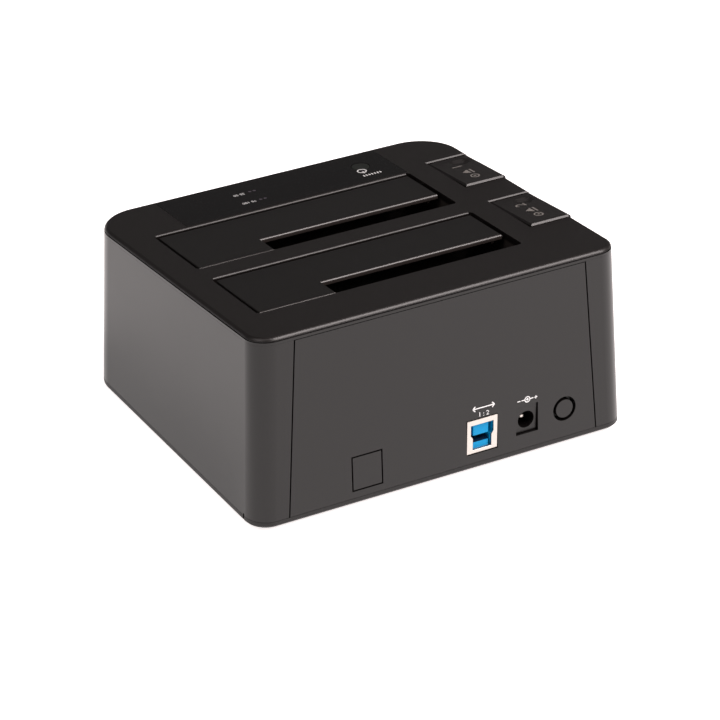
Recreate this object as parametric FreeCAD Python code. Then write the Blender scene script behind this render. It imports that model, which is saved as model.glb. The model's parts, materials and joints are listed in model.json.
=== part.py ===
import FreeCAD, Part
import os
from math import asin, atan2, cos, degrees, pi, sin, tan

Vec = FreeCAD.Vector

# A two-bay drive duplicating dock, in millimetres.
# Frame: +X to the user's right, the user stands on -Y, sockets face +Y, +Z is up.
# The origin is on the surface that the feet stand on, under the middle of the base.

# Case: heights, margins round the bays, flare toward the base, and corner radii
foot_height = 1.2
front_height = 60.8
rear_height = 69.4
key_column = 26.9
side_margin = 11.1
side_flare = 3.1
deck_front = 64.1
front_flare = 0.2
deck_rear = 60.8
rear_flare = 3.5
front_radius = 16.2
rear_radius = 8.0
wall = 2.2
deck_round = 1.5

# Parting lines
cover_rim = 2.6
reveal = 0.25
base_thick = 2.2
base_chamfer = 0.8
lip_thick = 1.2
lip_height = 2.2
lip_gap = 0.15
pry_slot_y = 55.3
pry_slot_width = 0.9
pry_slot_height = 3.0
pry_slot_depth = 1.4

# Drive bays
bay_length = 102.6
bay_width = 33.7
front_bay_y = -36.0
bay_pitch = 43.3
bay_corner = 0.8
bay_floor_z = 17.0
well_wall = 1.6
notch_length = 72.4
notch_width = 11.2
slot_lip = 0.8

# Doors
door_thick = 1.6
door_drop = 0.3
door_end_gap = 1.3
door_front_gap = 1.5
door_rear_gap = 0.8
door_edge = 0.5
door_round = 0.9
hinge_inset = 2.1
hinge_drop = 4.0
hinge_pin_r = 0.9
hinge_clearance = 0.06
barrel_r = 1.75
barrel_length = 9.0
barrel_margin = 8.0
rib_thick = 1.2
rib_height = 1.4

# Release keys and ejector levers
key_width = 16.6
key_length = 27.4
key_setback = -4.35
key_gap = 0.25
key_side_gap = 0.5
key_proud = 0.2
key_rise = 0.55
key_skirt = 9.0
key_wall = 1.5
key_top = 2.2
key_round = 0.6
key_lip = 0.4
key_travel = 4.5
apron_thick = 1.2
dimple_straight = 3.2
dimple_run = 3.0
dimple_depth = 1.0
dimple_round = 5.0
dimple_shift = 2.3
dimple_setback = 5.6
stem_width = 6.0
stem_thick = 5.0
stem_inset = 9.0
stem_setback = 17.0
stem_gap = 0.2
guide_z = 40.0
guide_thick = 2.4
guide_clearance = 0.3
lever_arm = 12.0
lever_pivot_z = 11.0
lever_width = 6.0
lever_hub_r = 2.2
lever_nose_r = 1.5
lever_pin_r = 1.0
lever_clearance = 0.06
lever_side_gap = 0.25
ear_thick = 1.6
finger_thick = 1.6
finger_length = 22.0

# Springs
key_spring_r = 2.4
key_spring_wire = 0.7
key_spring_turns = 6
door_spring_r = 1.35
door_spring_wire = 0.45
door_spring_turns = 5
spring_sides = 8
spring_gap = 0.35

# Drive sockets
socket_length = 37.6
socket_width = 5.6
socket_inset = 10.4
socket_setback = 28.4
socket_rise = 5.5
socket_slot_width = 2.3
socket_slot_depth = 5.0
signal_slot = 10.4
power_slot = 20.6
contact_pitch = 1.27
contact_width = 0.6
contact_thick = 0.4

# Boards
board_top_z = 7.0
board_thick = 1.6
board_side_gap = 17.5
board_front_gap = 26.6
board_rear_gap = 2.8
light_board_drop = 8.5

# Indicator strip, lights and power button
strip_right = 45.6
strip_rear_y = -37.3
strip_thick = 0.9
strip_gap = 0.12
strip_drop = 1.6
power_button_inset = 11.4
power_button_y = -51.3
power_button_r = 3.3
power_button_travel = 0.8
button_gap = 0.15
light_rows_y = (-53.05, -44.6)
light_columns_x = (10.6, 12.4)
power_light = (-30.5, -46.8)
light_pipe_r = 0.5
light_pipe_gap = 0.1
light_board_margin = 2.0
light_board_front = -57.1
light_board_rear = -41.6
light_board_thick = 1.2
light_posts = ((-18.5, -49.6), (3.2, -49.6))
light_width = 1.4
light_height = 0.8
ribbon_width = 10.0
ribbon_thick = 0.3
ribbon_x = -10.0
ribbon_front = 6.0
ribbon_rise = 3.3
ribbon_landing = 3.0
chips = ((-12.0, 16.4, 12.0, 12.0, 1.3), (22.0, -19.6, 10.0, 10.0, 1.3),
         (22.0, 2.4, 6.0, 5.0, 1.0), (38.0, 49.4, 10.0, 10.0, 4.5))
capacitor_r = 3.15
capacitor_height = 11.0
capacitor_first_x = 3.0
capacitor_pitch = 9.0
capacitor_y = 49.4

# Rear panel and what it carries
seam_inset_top = 14.1
seam_inset_base = 12.3
panel_gap = 0.2
flange = 2.5
flange_thick = 1.4
blank_x = 30.6
blank_z = 12.6
blank_width = 12.0
blank_height = 13.2
data_x = -14.5
data_width = 12.0
data_height = 12.9
data_depth = 17.0
data_rim = 0.8
data_wall = 0.4
data_cavity_depth = 8.5
tongue_width = 6.2
tongue_recess = 1.0
data_contact_pitch = 1.1
data_contact_half = 0.25
data_contact_thick = 0.15
upper_tongue_low = 0.8
jack_x = -32.5
jack_z = 14.45
jack_recess = 0.8
jack_bore_z = 14.0
jack_hole_width = 8.9
jack_hole_height = 10.8
jack_width = 8.4
jack_height = 10.3
jack_depth = 13.5
jack_bore_r = 3.2
jack_bore_depth = 9.5
jack_pin_r = 1.05
jack_pin_recess = 2.5
rear_button_x = -47.7
rear_button_z = 14.3
rear_hole_r = 4.6
rear_button_r = 3.95
rear_button_travel = 1.2
switch_side = 8.0
switch_depth = 7.0
plunger_r = 1.5
flange_step = 0.8

# Fasteners and feet
screw_r = 1.35
screw_head_r = 2.5
screw_head = 1.5
screw_length = 6.0
boss_r = 3.2
pad_height = 2.0
bar_sides = 10
corner_screw_side = 13.0
corner_screw_front = 12.6
corner_screw_rear = 10.8
board_screw_side = 5.5
board_screw_front = 5.0
board_screw_rear = 11.5
well_boss_drop = 5.0
well_ear_thick = 2.0
well_ear_reach = 6.6
well_ear_setback = 29.0
foot_r = 5.0
foot_sunk = 0.6
foot_side = 25.0
foot_front = 8.6
foot_rear = 5.8

BIG = 100.0
bay_names = ("front", "rear")
deck_width = key_column + bay_length + side_margin
deck_half = deck_width / 2
base_half = deck_half + side_flare
bay_left = key_column - deck_half
bay_right = bay_left + bay_length
notch_right = bay_left + notch_length
data_z = board_top_z + data_height / 2
key_inner_x = key_width - deck_half
stem_x = stem_inset - deck_half
lever_pivot_x = stem_x + lever_arm
finger_x = lever_pivot_x + lever_arm
socket_left = bay_left + socket_inset
seam_half_top = deck_half - seam_inset_top
seam_half_base = base_half - seam_inset_base
power_button_x = bay_left + power_button_inset
light_board_left = power_button_x - power_button_r - light_board_margin
light_board_right = light_columns_x[1] + 2 * light_board_margin
board_half = deck_half - board_side_gap
board_front = board_front_gap - deck_front
board_rear = deck_rear - board_rear_gap
lever_lift = asin(key_travel / 2 / lever_arm)
base_top_z = foot_height + base_thick
tilt = atan2(rear_height - front_height, deck_front + deck_rear)


def deck_z(y):
    """Height of the sloping deck above the table at depth y."""
    return foot_height + front_height + (y + deck_front) * tan(tilt)


deck_frame = FreeCAD.Placement(Vec(0, 0, deck_z(0)), FreeCAD.Rotation(Vec(1, 0, 0), degrees(tilt)))


def box(x0, x1, y0, y1, z0, z1):
    return Part.makeBox(x1 - x0, y1 - y0, z1 - z0, Vec(x0, y0, z0))


def rod(radius, start, end):
    start = Vec(*start)
    run = Vec(*end) - start
    return Part.makeCylinder(radius, run.Length, start, run)


def prism(radius, x, y, low, high):
    """An upright bar with flat sides, as wide across its corners as a round one."""
    corners = [Vec(x + radius * cos(2 * pi * k / bar_sides), y + radius * sin(2 * pi * k / bar_sides), low)
               for k in range(bar_sides + 1)]
    return Part.Face(Part.makePolygon(corners)).extrude(Vec(0, 0, high - low))


def bar(radius, start, end):
    """A flat-sided bar between two points, for a small pin or the hole that it sits in."""
    run = Vec(*end) - Vec(*start)
    piece = prism(radius, 0, 0, 0, run.Length)
    piece.Placement = FreeCAD.Placement(Vec(*start), FreeCAD.Rotation(Vec(0, 0, 1), run))
    return piece


def deck_prism(radius, x, y, low, high):
    """A flat-sided bar square to the deck, between two heights above it."""
    return on_deck(prism(radius, x, y / cos(tilt), low, high))


def deck_rod(radius, x, y, low, high):
    """A round bar square to the deck, between two heights above it."""
    return on_deck(Part.makeCylinder(radius, high - low, Vec(x, y / cos(tilt), low)))


def on_deck(shape):
    """Move a shape drawn on a level deck through the origin onto the sloping deck."""
    placed = shape.copy()
    placed.Placement = deck_frame.multiply(placed.Placement)
    return placed


def deck_box(x0, x1, y0, y1, z0, z1):
    return on_deck(box(x0, x1, y0 / cos(tilt), y1 / cos(tilt), z0, z1))


def deck_layer(low, high):
    return deck_box(-BIG, BIG, -BIG, BIG, low, high)


def slab(x0, x1, y0, y1, z0, z1, corner):
    """An upright block with its vertical edges taken off."""
    block = box(x0, x1, y0, y1, z0, z1)
    return block.makeChamfer(corner, edges_where(block, lambda edge: edge.BoundBox.ZLength > 0.9 * (z1 - z0)))


def solid_of(faces):
    """A solid from faces that close on each other."""
    skin = Part.makeCompound(faces)
    skin.sewShape()
    solid = Part.makeSolid(skin.Shells[0])
    return solid if solid.Volume > 0 else solid.reversed()


def tapered(low, high, inset, across):
    """A bar with two slanted sides, given as places at the foot and at the deck's highest point."""
    corners = []
    for z in (-foot_height, 1.2 * rear_height):
        share = (z - foot_height) / rear_height
        corners.append([(foot + (head - foot) * share + turn * inset, z)
                        for foot, head, turn in ((low[0], high[0], 1), (low[1], high[1], -1))])
    ring = corners[0] + corners[1][::-1]
    if across:
        points = [Vec(place, -BIG, z) for place, z in ring + ring[:1]]
        return Part.Face(Part.makePolygon(points)).extrude(Vec(0, 2 * BIG, 0))
    points = [Vec(-BIG, place, z) for place, z in ring + ring[:1]]
    return Part.Face(Part.makePolygon(points)).extrude(Vec(2 * BIG, 0, 0))


def case(inset=0.0):
    """The tapered body of the case, taller than needed, moved in by inset."""
    deck_depth = (-deck_front, deck_rear)
    base_depth = (-deck_front - front_flare, deck_rear + rear_flare)
    body = tapered((-base_half, base_half), (-deck_half, deck_half), inset, True)
    body = body.common(tapered(base_depth, deck_depth, inset, False))
    for radius, at_front in ((front_radius, True), (rear_radius, False)):
        upright = edges_where(body, lambda edge: edge.BoundBox.ZLength > rear_height
                              and (edge.BoundBox.YMax < 0) == at_front)
        body = body.makeFillet(radius - inset, upright)
    return body


def case_ring(outer, inner):
    return case(outer).cut(case(inner))


def seam_prism(grow):
    """Everything between the two seams of the rear panel, moved out by grow."""
    top = foot_height + rear_height
    low = seam_half_base + grow
    high = seam_half_top + grow
    corners = [Vec(-low, 0, 0), Vec(low, 0, 0), Vec(high, 0, top), Vec(-high, 0, top), Vec(-low, 0, 0)]
    return Part.Face(Part.makePolygon(corners)).extrude(Vec(0, BIG, 0))


def bay_y(index):
    return front_bay_y + index * bay_pitch


def key_y(index):
    return bay_y(index) + key_setback


def rear_face_y(z):
    """Depth of the rear wall's outer face at height z."""
    return deck_rear + rear_flare * (1 - (z - foot_height) / rear_height)


def edges_where(shape, test):
    return [edge for edge in shape.Edges if test(edge)]


def above_deck(point):
    """Distance of a point above the deck plane, along the deck's normal."""
    return (point.z - deck_z(point.y)) * cos(tilt)


def at_level(edge, level):
    return all(abs(above_deck(vertex.Point) - level) < 0.02 for vertex in edge.Vertexes)


def along_x(edge):
    first, last = edge.Vertexes[0].Point, edge.Vertexes[-1].Point
    return abs(first.x - last.x) > 1 and abs(first.y - last.y) < 0.01


def fuse(first, *others):
    return first.fuse(list(others)).removeSplitter()


# ---------------------------------------------------------------- case

def deck_blank():
    """The cover's slab before anything is cut, its outer edge rounded in three flats."""
    blank = case().common(deck_layer(-cover_rim, 0))
    flat = 0.65 * deck_round
    blank = blank.makeChamfer(flat, edges_where(blank, lambda edge: at_level(edge, 0)))
    for level in (0, -flat):
        blank = blank.makeChamfer(deck_round / 4, edges_where(blank, lambda edge: at_level(edge, level)))
    return blank


def strip_region(gap):
    """The inlay's place: a thin plate on the deck that folds over its front edge."""
    reach = box(bay_left + gap, strip_right - gap, -BIG, strip_rear_y - gap, 0, BIG)
    shell = deck_blank().common(reach).common(deck_layer(-strip_drop, 0))
    return shell.cut(case(strip_thick).common(deck_layer(-BIG, -strip_thick)))


def bay_slot(index):
    y = bay_y(index)
    return slab(bay_left, bay_right, y, y + bay_width, bay_floor_z, BIG, bay_corner)


def key_slot(index, grow, side_grow):
    y = key_y(index)
    return box(-BIG, key_inner_x + side_grow, y - grow, y + key_length + grow, guide_z, BIG)


def in_front_of_key(edge):
    """Whether an edge of the cover runs along the front of a key's slot."""
    y = edge.Vertexes[0].Point.y
    return edge.BoundBox.XMax < bay_left and any(abs(y - key_y(index) + key_gap) < 0.01 for index in range(2))


def light_places():
    return [(x, y) for y in light_rows_y for x in light_columns_x] + [power_light]


def make_top_cover():
    cover = deck_blank()
    for index in range(2):
        cover = cover.cut(bay_slot(index))
    for index in range(2):
        front = bay_y(index)
        lips = edges_where(cover, lambda edge: at_level(edge, 0) and along_x(edge)
                           and abs(edge.Vertexes[0].Point.y - front) < 0.01)
        cover = cover.makeFillet(slot_lip, lips)
    lip = case_ring(wall + lip_gap, wall + lip_gap + lip_thick)
    cover = fuse(cover, lip.common(deck_layer(-cover_rim - lip_height, -cover_rim)))
    for index in range(2):
        cover = cover.cut(key_slot(index, key_gap, key_side_gap))
        relief = key_slot(index, key_gap + key_wall, key_side_gap + key_wall)
        cover = cover.cut(relief.common(deck_layer(-BIG, -cover_rim)))
    lips = edges_where(cover, lambda edge: at_level(edge, 0) and along_x(edge) and in_front_of_key(edge))
    cover = cover.makeChamfer(key_lip, lips)
    cover = cover.cut(strip_region(0))
    for x, y in light_places():
        cover = cover.cut(deck_prism(light_pipe_r + light_pipe_gap, x, y, -BIG, BIG))
    cover = cover.cut(deck_rod(power_button_r + button_gap, power_button_x, power_button_y, -BIG, BIG))
    posts = [prism(boss_r, x, y, base_top_z + pad_height, deck_z(y) - cover_rim / 2)
             for x, y in corner_screws()]
    posts += [deck_prism(boss_r, x, y, -cover_rim - well_boss_drop, -cover_rim / 2) for x, y in well_screws()]
    posts += [deck_prism(boss_r - 1, x, y, -light_board_drop, -cover_rim / 2) for x, y in light_posts]
    cover = fuse(cover, *posts)
    for screw in corner_screw_solids() + well_screw_solids() + light_screw_solids():
        cover = cover.cut(screw)
    return cover


def corner_screws():
    side = deck_half - corner_screw_side
    rows = (corner_screw_front - deck_front, deck_rear - corner_screw_rear)
    return [(x, y) for x in (-side, side) for y in rows]


def pry_slot():
    """The small slot at the foot of one side, where the base is prised off."""
    y = pry_slot_y - pry_slot_width / 2
    return box(base_half - pry_slot_depth, BIG, y, y + pry_slot_width, 0, foot_height + pry_slot_height)


def wall_height():
    """Everything between the base plate and the cover."""
    above_base = box(-BIG, BIG, -BIG, BIG, base_top_z + reveal / 2, BIG)
    return deck_layer(-BIG - foot_height, -cover_rim - reveal).common(above_base)


def make_main_shell():
    body = case().cut(case(wall))
    body = body.cut(seam_prism(0).common(case().cut(case(wall))))
    ledge = case_ring(wall, wall + flange_thick).common(seam_prism(flange).cut(seam_prism(-flange)))
    ledge = ledge.common(deck_layer(-BIG - foot_height, -cover_rim - lip_height - reveal))
    body = fuse(body, ledge)
    body = body.common(wall_height())
    for index in range(2):
        y = key_y(index)
        depth = key_skirt + key_travel + 2 * key_gap
        notch = deck_box(-BIG, -deck_width / 4, -BIG, BIG, -depth, key_skirt)
        body = body.cut(notch.common(box(-BIG, BIG, y - key_gap, y + key_length + key_gap, 0, BIG)))
    return body.cut(pry_slot())


def make_rear_panel():
    panel = case().cut(case(wall)).common(seam_prism(-panel_gap)).common(wall_height())
    for x, z, width, height in (
        (blank_x, blank_z, blank_width, blank_height),
        (data_x, data_z, data_width + 2 * panel_gap, data_height + 2 * panel_gap),
        (jack_x, jack_z, jack_hole_width, jack_hole_height),
    ):
        panel = panel.cut(box(x - width / 2, x + width / 2, 0, BIG, z - height / 2, z + height / 2))
    return panel.cut(rod(rear_hole_r, (rear_button_x, 0, rear_button_z), (rear_button_x, BIG, rear_button_z)))


# ---------------------------------------------------------------- fasteners and feet

def screw(x, y, z):
    """A pan-head screw that points up, its head's seat at height z."""
    head = prism(screw_head_r, x, y, z - screw_head, z)
    return fuse(head, prism(screw_r, x, y, z, z + screw_length))


def deck_screw(x, y, level):
    return on_deck(screw(x, y / cos(tilt), level))


def corner_screw_solids():
    seat = base_top_z + pad_height - base_thick / 2
    return [screw(x, y, seat) for x, y in corner_screws()]


def well_screws():
    """One screw at each end of each well."""
    places = []
    for index in range(2):
        middle = bay_y(index) + bay_width / 2
        places.append((bay_right + well_wall + well_ear_reach / 2, middle))
        places.append((bay_left - well_wall - well_ear_reach / 2, bay_y(index) + well_ear_setback))
    return places


def well_screw_solids():
    level = -cover_rim - well_boss_drop - well_ear_thick
    return [deck_screw(x, y, level) for x, y in well_screws()]


def light_screw_solids():
    level = -light_board_drop - light_board_thick
    return [deck_screw(x, y, level) for x, y in light_posts]


def board_screw_places():
    side = board_half - board_screw_side
    rows = (board_front + board_screw_front, board_rear - board_screw_rear)
    return [(x, y) for x in (-side, side) for y in rows]


def board_screw_solids():
    solids = []
    for x, y in board_screw_places():
        upright = screw(x, y, 0)
        upright.rotate(Vec(x, y, 0), Vec(1, 0, 0), 180)
        upright.translate(Vec(0, 0, board_top_z))
        solids.append(upright)
    return solids


def foot_places():
    side = deck_half - foot_side
    return [(x, y) for x in (-side, side) for y in (foot_front - deck_front, deck_rear - foot_rear)]


def make_feet():
    return [Part.makeCylinder(foot_r, foot_height + foot_sunk, Vec(x, y, 0)) for x, y in foot_places()]


def make_base_plate():
    plate = case().common(box(-BIG, BIG, -BIG, BIG, foot_height, base_top_z))
    rim = edges_where(plate, lambda edge: edge.BoundBox.ZMax < foot_height + 0.01)
    plate = plate.makeChamfer(base_chamfer, rim)
    lip = case_ring(wall + lip_gap, wall + lip_gap + lip_thick)
    lip = lip.common(box(-BIG, BIG, -BIG, BIG, base_top_z - base_thick / 2, base_top_z + lip_height))
    lip = lip.cut(seam_prism(flange + lip_gap).common(box(-BIG, BIG, 0, BIG, base_top_z, BIG)))
    half_way = base_top_z - base_thick / 2
    pads = [prism(boss_r, x, y, half_way, base_top_z + pad_height) for x, y in corner_screws()]
    pads += [prism(boss_r, x, y, half_way, board_top_z - board_thick) for x, y in board_screw_places()]
    plate = fuse(plate, lip, *pads)
    for x, y in corner_screws():
        seat = half_way + pad_height - screw_head
        plate = plate.cut(prism(screw_head_r + lip_gap, x, y, foot_height, seat))
    for solid in corner_screw_solids() + board_screw_solids():
        plate = plate.cut(solid)
    for x, y in foot_places():
        plate = plate.cut(Part.makeCylinder(foot_r, foot_height + foot_sunk, Vec(x, y, 0)))
    return plate.cut(pry_slot())


# ---------------------------------------------------------------- wells, doors and drive sockets

def hinge_z(index):
    return deck_z(bay_y(index) + hinge_inset) - hinge_drop / cos(tilt)


def hinge_rod(index, radius, x0, x1):
    y = bay_y(index) + hinge_inset
    return bar(radius, (x0, y, hinge_z(index)), (x1, y, hinge_z(index)))


def lever_y(index):
    return bay_y(index) + stem_setback


def lever_ear(index, side, high):
    """One of the two cheeks that hold the lever's pin, on the well's end wall."""
    near = lever_width / 2 + lever_side_gap
    y = lever_y(index) + side * (near + ear_thick / 2)
    low = lever_pivot_z - lever_hub_r
    x0 = lever_pivot_x - lever_hub_r
    return box(x0, bay_left - well_wall, y - ear_thick / 2, y + ear_thick / 2, low, high)


def stem_box(index, grow, low, high):
    y = lever_y(index)
    return box(stem_x - stem_thick / 2 - grow, stem_x + stem_thick / 2 + grow,
               y - stem_width / 2 - grow, y + stem_width / 2 + grow, low, high)


def key_spring_y(index):
    return key_y(index) + key_length * 0.3


def make_well(index):
    y = bay_y(index)
    top = deck_layer(-BIG - foot_height, -cover_rim)
    outer = slab(bay_left - well_wall, bay_right + well_wall, y - well_wall, y + bay_width + well_wall,
                 bay_floor_z - well_wall, BIG, bay_corner + well_wall)
    well = outer.cut(bay_slot(index)).common(top)
    near = max(key_y(index) + key_wall, y - well_wall + bay_corner + key_wall)
    far = key_y(index) + key_length - key_wall
    guide = box(stem_x - stem_thick, bay_left - well_wall, near, far, guide_z, guide_z + guide_thick)
    post_r = key_spring_r - key_spring_wire
    post = prism(post_r, stem_x, key_spring_y(index), guide_z, guide_z + 4 * guide_thick)
    ears = [lever_ear(index, side, guide_z + guide_thick / 2) for side in (-1, 1)]
    tabs = [deck_box(x - well_ear_reach / 2, x + well_ear_reach / 2, ty - boss_r, ty + boss_r,
                     -cover_rim - well_boss_drop - well_ear_thick, -cover_rim - well_boss_drop)
            for x, ty in well_screws()[2 * index:2 * index + 2]]
    well = fuse(well, guide, post, *ears, *tabs)
    well = well.cut(stem_box(index, guide_clearance, 0, BIG))
    well = well.cut(hinge_rod(index, hinge_pin_r, bay_left - well_wall, bay_right + well_wall))
    well = well.cut(lever_pin_solid(index))
    for solid in well_screw_solids():
        well = well.cut(solid)
    well = well.cut(box(finger_x - 2 * finger_thick, finger_x + finger_thick,
                        lever_y(index) - finger_length / 2 - guide_clearance,
                        lever_y(index) + finger_length / 2 + guide_clearance, 0, bay_floor_z + 1))
    return well.cut(socket_box(index, guide_clearance, BIG / 2))


def lever_pin_solid(index):
    reach = lever_width / 2 + lever_side_gap + ear_thick
    start = (lever_pivot_x, lever_y(index) - reach, lever_pivot_z)
    end = (lever_pivot_x, lever_y(index) + reach, lever_pivot_z)
    return bar(lever_pin_r, start, end)


def make_lever(index):
    """Rocker: the key's stem presses its nose, and its finger lifts the drive off the socket."""
    y0 = lever_y(index) - lever_width / 2
    nose_x = lever_pivot_x - lever_arm * cos(lever_lift)
    nose_z = lever_pivot_z + key_travel / 2
    reach = finger_x - lever_pivot_x
    arm_half = lever_nose_r * 0.72

    def disc(x, z, r):
        return bar(r, (x, y0, z), (x, y0 + lever_width, z))

    outer = box(-lever_arm, 0, y0, y0 + lever_width, -arm_half, arm_half)
    outer.rotate(Vec(0, 0, 0), Vec(0, 1, 0), degrees(lever_lift))
    inner = box(0, reach + finger_thick / 2, y0, y0 + lever_width, -lever_hub_r + 0.2, 0)
    for arm in (outer, inner):
        arm.translate(Vec(lever_pivot_x, 0, lever_pivot_z))
    middle = lever_y(index)
    finger = box(finger_x - finger_thick / 2, finger_x + finger_thick / 2,
                 middle - finger_length / 2, middle + finger_length / 2,
                 lever_pivot_z - lever_hub_r + 0.2, bay_floor_z - stem_gap)
    hub = disc(lever_pivot_x, lever_pivot_z, lever_hub_r)
    solid = fuse(hub, outer, disc(nose_x, nose_z, lever_nose_r), inner, finger)
    return solid.cut(disc(lever_pivot_x, lever_pivot_z, lever_pin_r + lever_clearance))


def barrel_places():
    """Left ends of the door's two hinge barrels along the pin."""
    return [bay_left + barrel_margin, bay_right - barrel_margin - barrel_length]


def flat_round(place, turn, radius):
    """Points of a rounded top edge in three flats, from the side up to the top at height zero."""
    return [(place - turn * radius * (1 - cos(angle)), -radius * (1 - sin(angle)))
            for angle in (0, pi / 6, pi / 3, pi / 2)]


def leaf_bar(low, high, low_round, high_round, across):
    """A long bar with rounded top edges, for the top of a door's leaf."""
    ring = [(low, -door_thick), (high, -door_thick)]
    ring += flat_round(high, 1, high_round) + flat_round(low, -1, low_round)[::-1]
    if across:
        points = [Vec(place, -BIG, z) for place, z in ring + ring[:1]]
        return Part.Face(Part.makePolygon(points)).extrude(Vec(0, 2 * BIG, 0))
    points = [Vec(-BIG, place / cos(tilt), z) for place, z in ring + ring[:1]]
    return Part.Face(Part.makePolygon(points)).extrude(Vec(2 * BIG, 0, 0))


def leaf_part(left, right, front, rear):
    across = leaf_bar(left, right, door_edge, door_edge, True)
    return leaf_bar(front, rear, door_edge, door_round, False).common(across)


def make_door(index):
    """L-shaped flap: wide beside the notch, narrow along it."""
    front = bay_y(index) + door_front_gap
    rear = bay_y(index) + bay_width - door_rear_gap
    step = bay_y(index) + bay_width - notch_width
    left = bay_left + door_end_gap
    right = bay_right - door_end_gap
    top = -door_drop
    leaf = fuse(leaf_part(left, right, front, step), leaf_part(notch_right, right, front, rear))
    leaf.translate(Vec(0, 0, top))
    leaf = on_deck(leaf)
    ribs = []
    for x in [notch_right - rib_thick, right - 3 * rib_thick, left + 2 * rib_thick]:
        far = rear if x > notch_right else step
        ribs.append(deck_box(x, x + rib_thick, front + 2 * barrel_r + rib_height, far - rib_height,
                             top - door_thick - rib_height, top - door_thick / 2))
    axis = hinge_z(index)
    y = bay_y(index) + hinge_inset
    web_height = hinge_drop - door_drop - door_thick / 2
    webs = []
    for x in barrel_places():
        webs.append(hinge_rod(index, barrel_r, x, x + barrel_length))
        web = on_deck(box(x, x + barrel_length, door_front_gap - hinge_inset, barrel_r, 0, web_height))
        web.translate(Vec(0, y, axis) - deck_frame.Base)
        webs.append(web)
    door = fuse(leaf, *ribs, *webs)
    return door.cut(hinge_rod(index, hinge_pin_r + hinge_clearance, bay_left, bay_right))


def coil(radius, wire, turns, length):
    """A spring wound along +Z from the origin, of square wire in straight chords."""
    steps = turns * spring_sides
    sections = []
    for step in range(steps + 1):
        angle = 2 * pi * step / spring_sides
        rise = wire / 2 + (length - wire) * step / steps
        out = Vec(cos(angle), sin(angle), 0)
        sections.append([out * (radius + u * wire / 2) + Vec(0, 0, rise + v * wire / 2)
                         for u, v in ((-1, -1), (1, -1), (1, 1), (-1, 1))])
    outlines = [sections[0], sections[-1]]
    for near, far in zip(sections, sections[1:]):
        for k in range(4):
            following = (k + 1) % 4
            outlines.append([near[k], near[following], far[following]])
            outlines.append([near[k], far[following], far[k]])
    return solid_of([Part.Face(Part.makePolygon(corners + corners[:1])) for corners in outlines])


def make_door_spring(index):
    start = barrel_places()[0] + barrel_length + spring_gap
    length = door_spring_turns * door_spring_wire * 1.6
    spring = coil(door_spring_r, door_spring_wire, door_spring_turns, length)
    spring.rotate(Vec(0, 0, 0), Vec(0, 1, 0), 90)
    spring.translate(Vec(start, bay_y(index) + hinge_inset, hinge_z(index)))
    return spring


def make_key_spring(index):
    y = key_spring_y(index)
    low = guide_z + guide_thick
    high = deck_z(y) + (key_proud - key_top) / cos(tilt)
    spring = coil(key_spring_r, key_spring_wire, key_spring_turns, high - low - lip_gap)
    spring.translate(Vec(stem_x, y, low))
    return spring


def key_frame(index):
    """The key's own top, which leans back a little more than the deck."""
    middle = key_y(index) + key_length / 2
    lean = atan2(key_rise, key_length / 2)
    turn = FreeCAD.Rotation(Vec(1, 0, 0), degrees(lean))
    return deck_frame.multiply(FreeCAD.Placement(Vec(0, middle / cos(tilt), key_proud), turn))


def on_key(index, shape):
    """Move a shape drawn on a level key through the origin onto the key."""
    placed = shape.copy()
    placed.Placement = key_frame(index).multiply(placed.Placement)
    return placed


def key_layer(index, low, high):
    return on_key(index, box(-BIG, BIG, -BIG, BIG, low, high))


def at_key_top(edge, index):
    into_key = key_frame(index).inverse()
    return all(abs(into_key.multVec(vertex.Point).z) < 0.02 for vertex in edge.Vertexes)


def make_key(index):
    """Cap that wraps over the deck's edge, with a dished front, a long stem and an inner apron."""
    y = key_y(index)
    reach = box(-BIG, key_inner_x, y, y + key_length, 0, BIG)
    raised = case()
    raised.translate(Vec(0, 0, key_proud))
    cap = raised.common(reach).common(deck_layer(-key_skirt, key_skirt)).common(key_layer(index, -BIG, 0))
    outer = edges_where(cap, lambda edge: at_key_top(edge, index) and edge.BoundBox.XMax < key_inner_x - 1
                        and edge.BoundBox.XLength < 1)
    cap = cap.makeFillet(deck_round, outer)
    rim = edges_where(cap, lambda edge: at_key_top(edge, index)
                      and abs(edge.BoundBox.XMax - key_inner_x) < 0.01)
    cap = cap.makeChamfer(key_round, rim)
    inside = box(-BIG, key_inner_x - key_wall, y + key_wall, y + key_length - key_wall, 0, BIG)
    hollow = case(key_wall).common(inside).common(deck_layer(-BIG, key_proud - key_top))
    cap = cap.cut(hollow)
    side = box(-BIG, key_inner_x, -BIG, BIG, 0, BIG)
    wide = box(-BIG, key_inner_x, y - 3 * key_gap, y + key_length + 3 * key_gap, 0, BIG)
    apron_in = wall + reveal
    apron_low = -key_skirt - key_travel - 4 * key_gap
    apron = case_ring(apron_in, apron_in + apron_thick).common(wide).common(side)
    apron = apron.common(deck_layer(apron_low, -cover_rim - lip_height - reveal))
    tie = case_ring(key_wall / 2, apron_in + apron_thick / 2).common(reach)
    tie = tie.common(deck_layer(-key_skirt, -cover_rim - lip_height - reveal))
    nose_top = lever_pivot_z + key_travel / 2 + lever_nose_r
    stem = stem_box(index, 0, nose_top + stem_gap, deck_z(lever_y(index)) - key_top / 2)
    post_y = key_spring_y(index)
    post = deck_prism(key_spring_r - key_spring_wire, stem_x, post_y, -key_top - key_wall, -key_top / 2)
    key = fuse(cap, apron, tie, stem, post)
    return key.cut(dimple(index))


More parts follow.
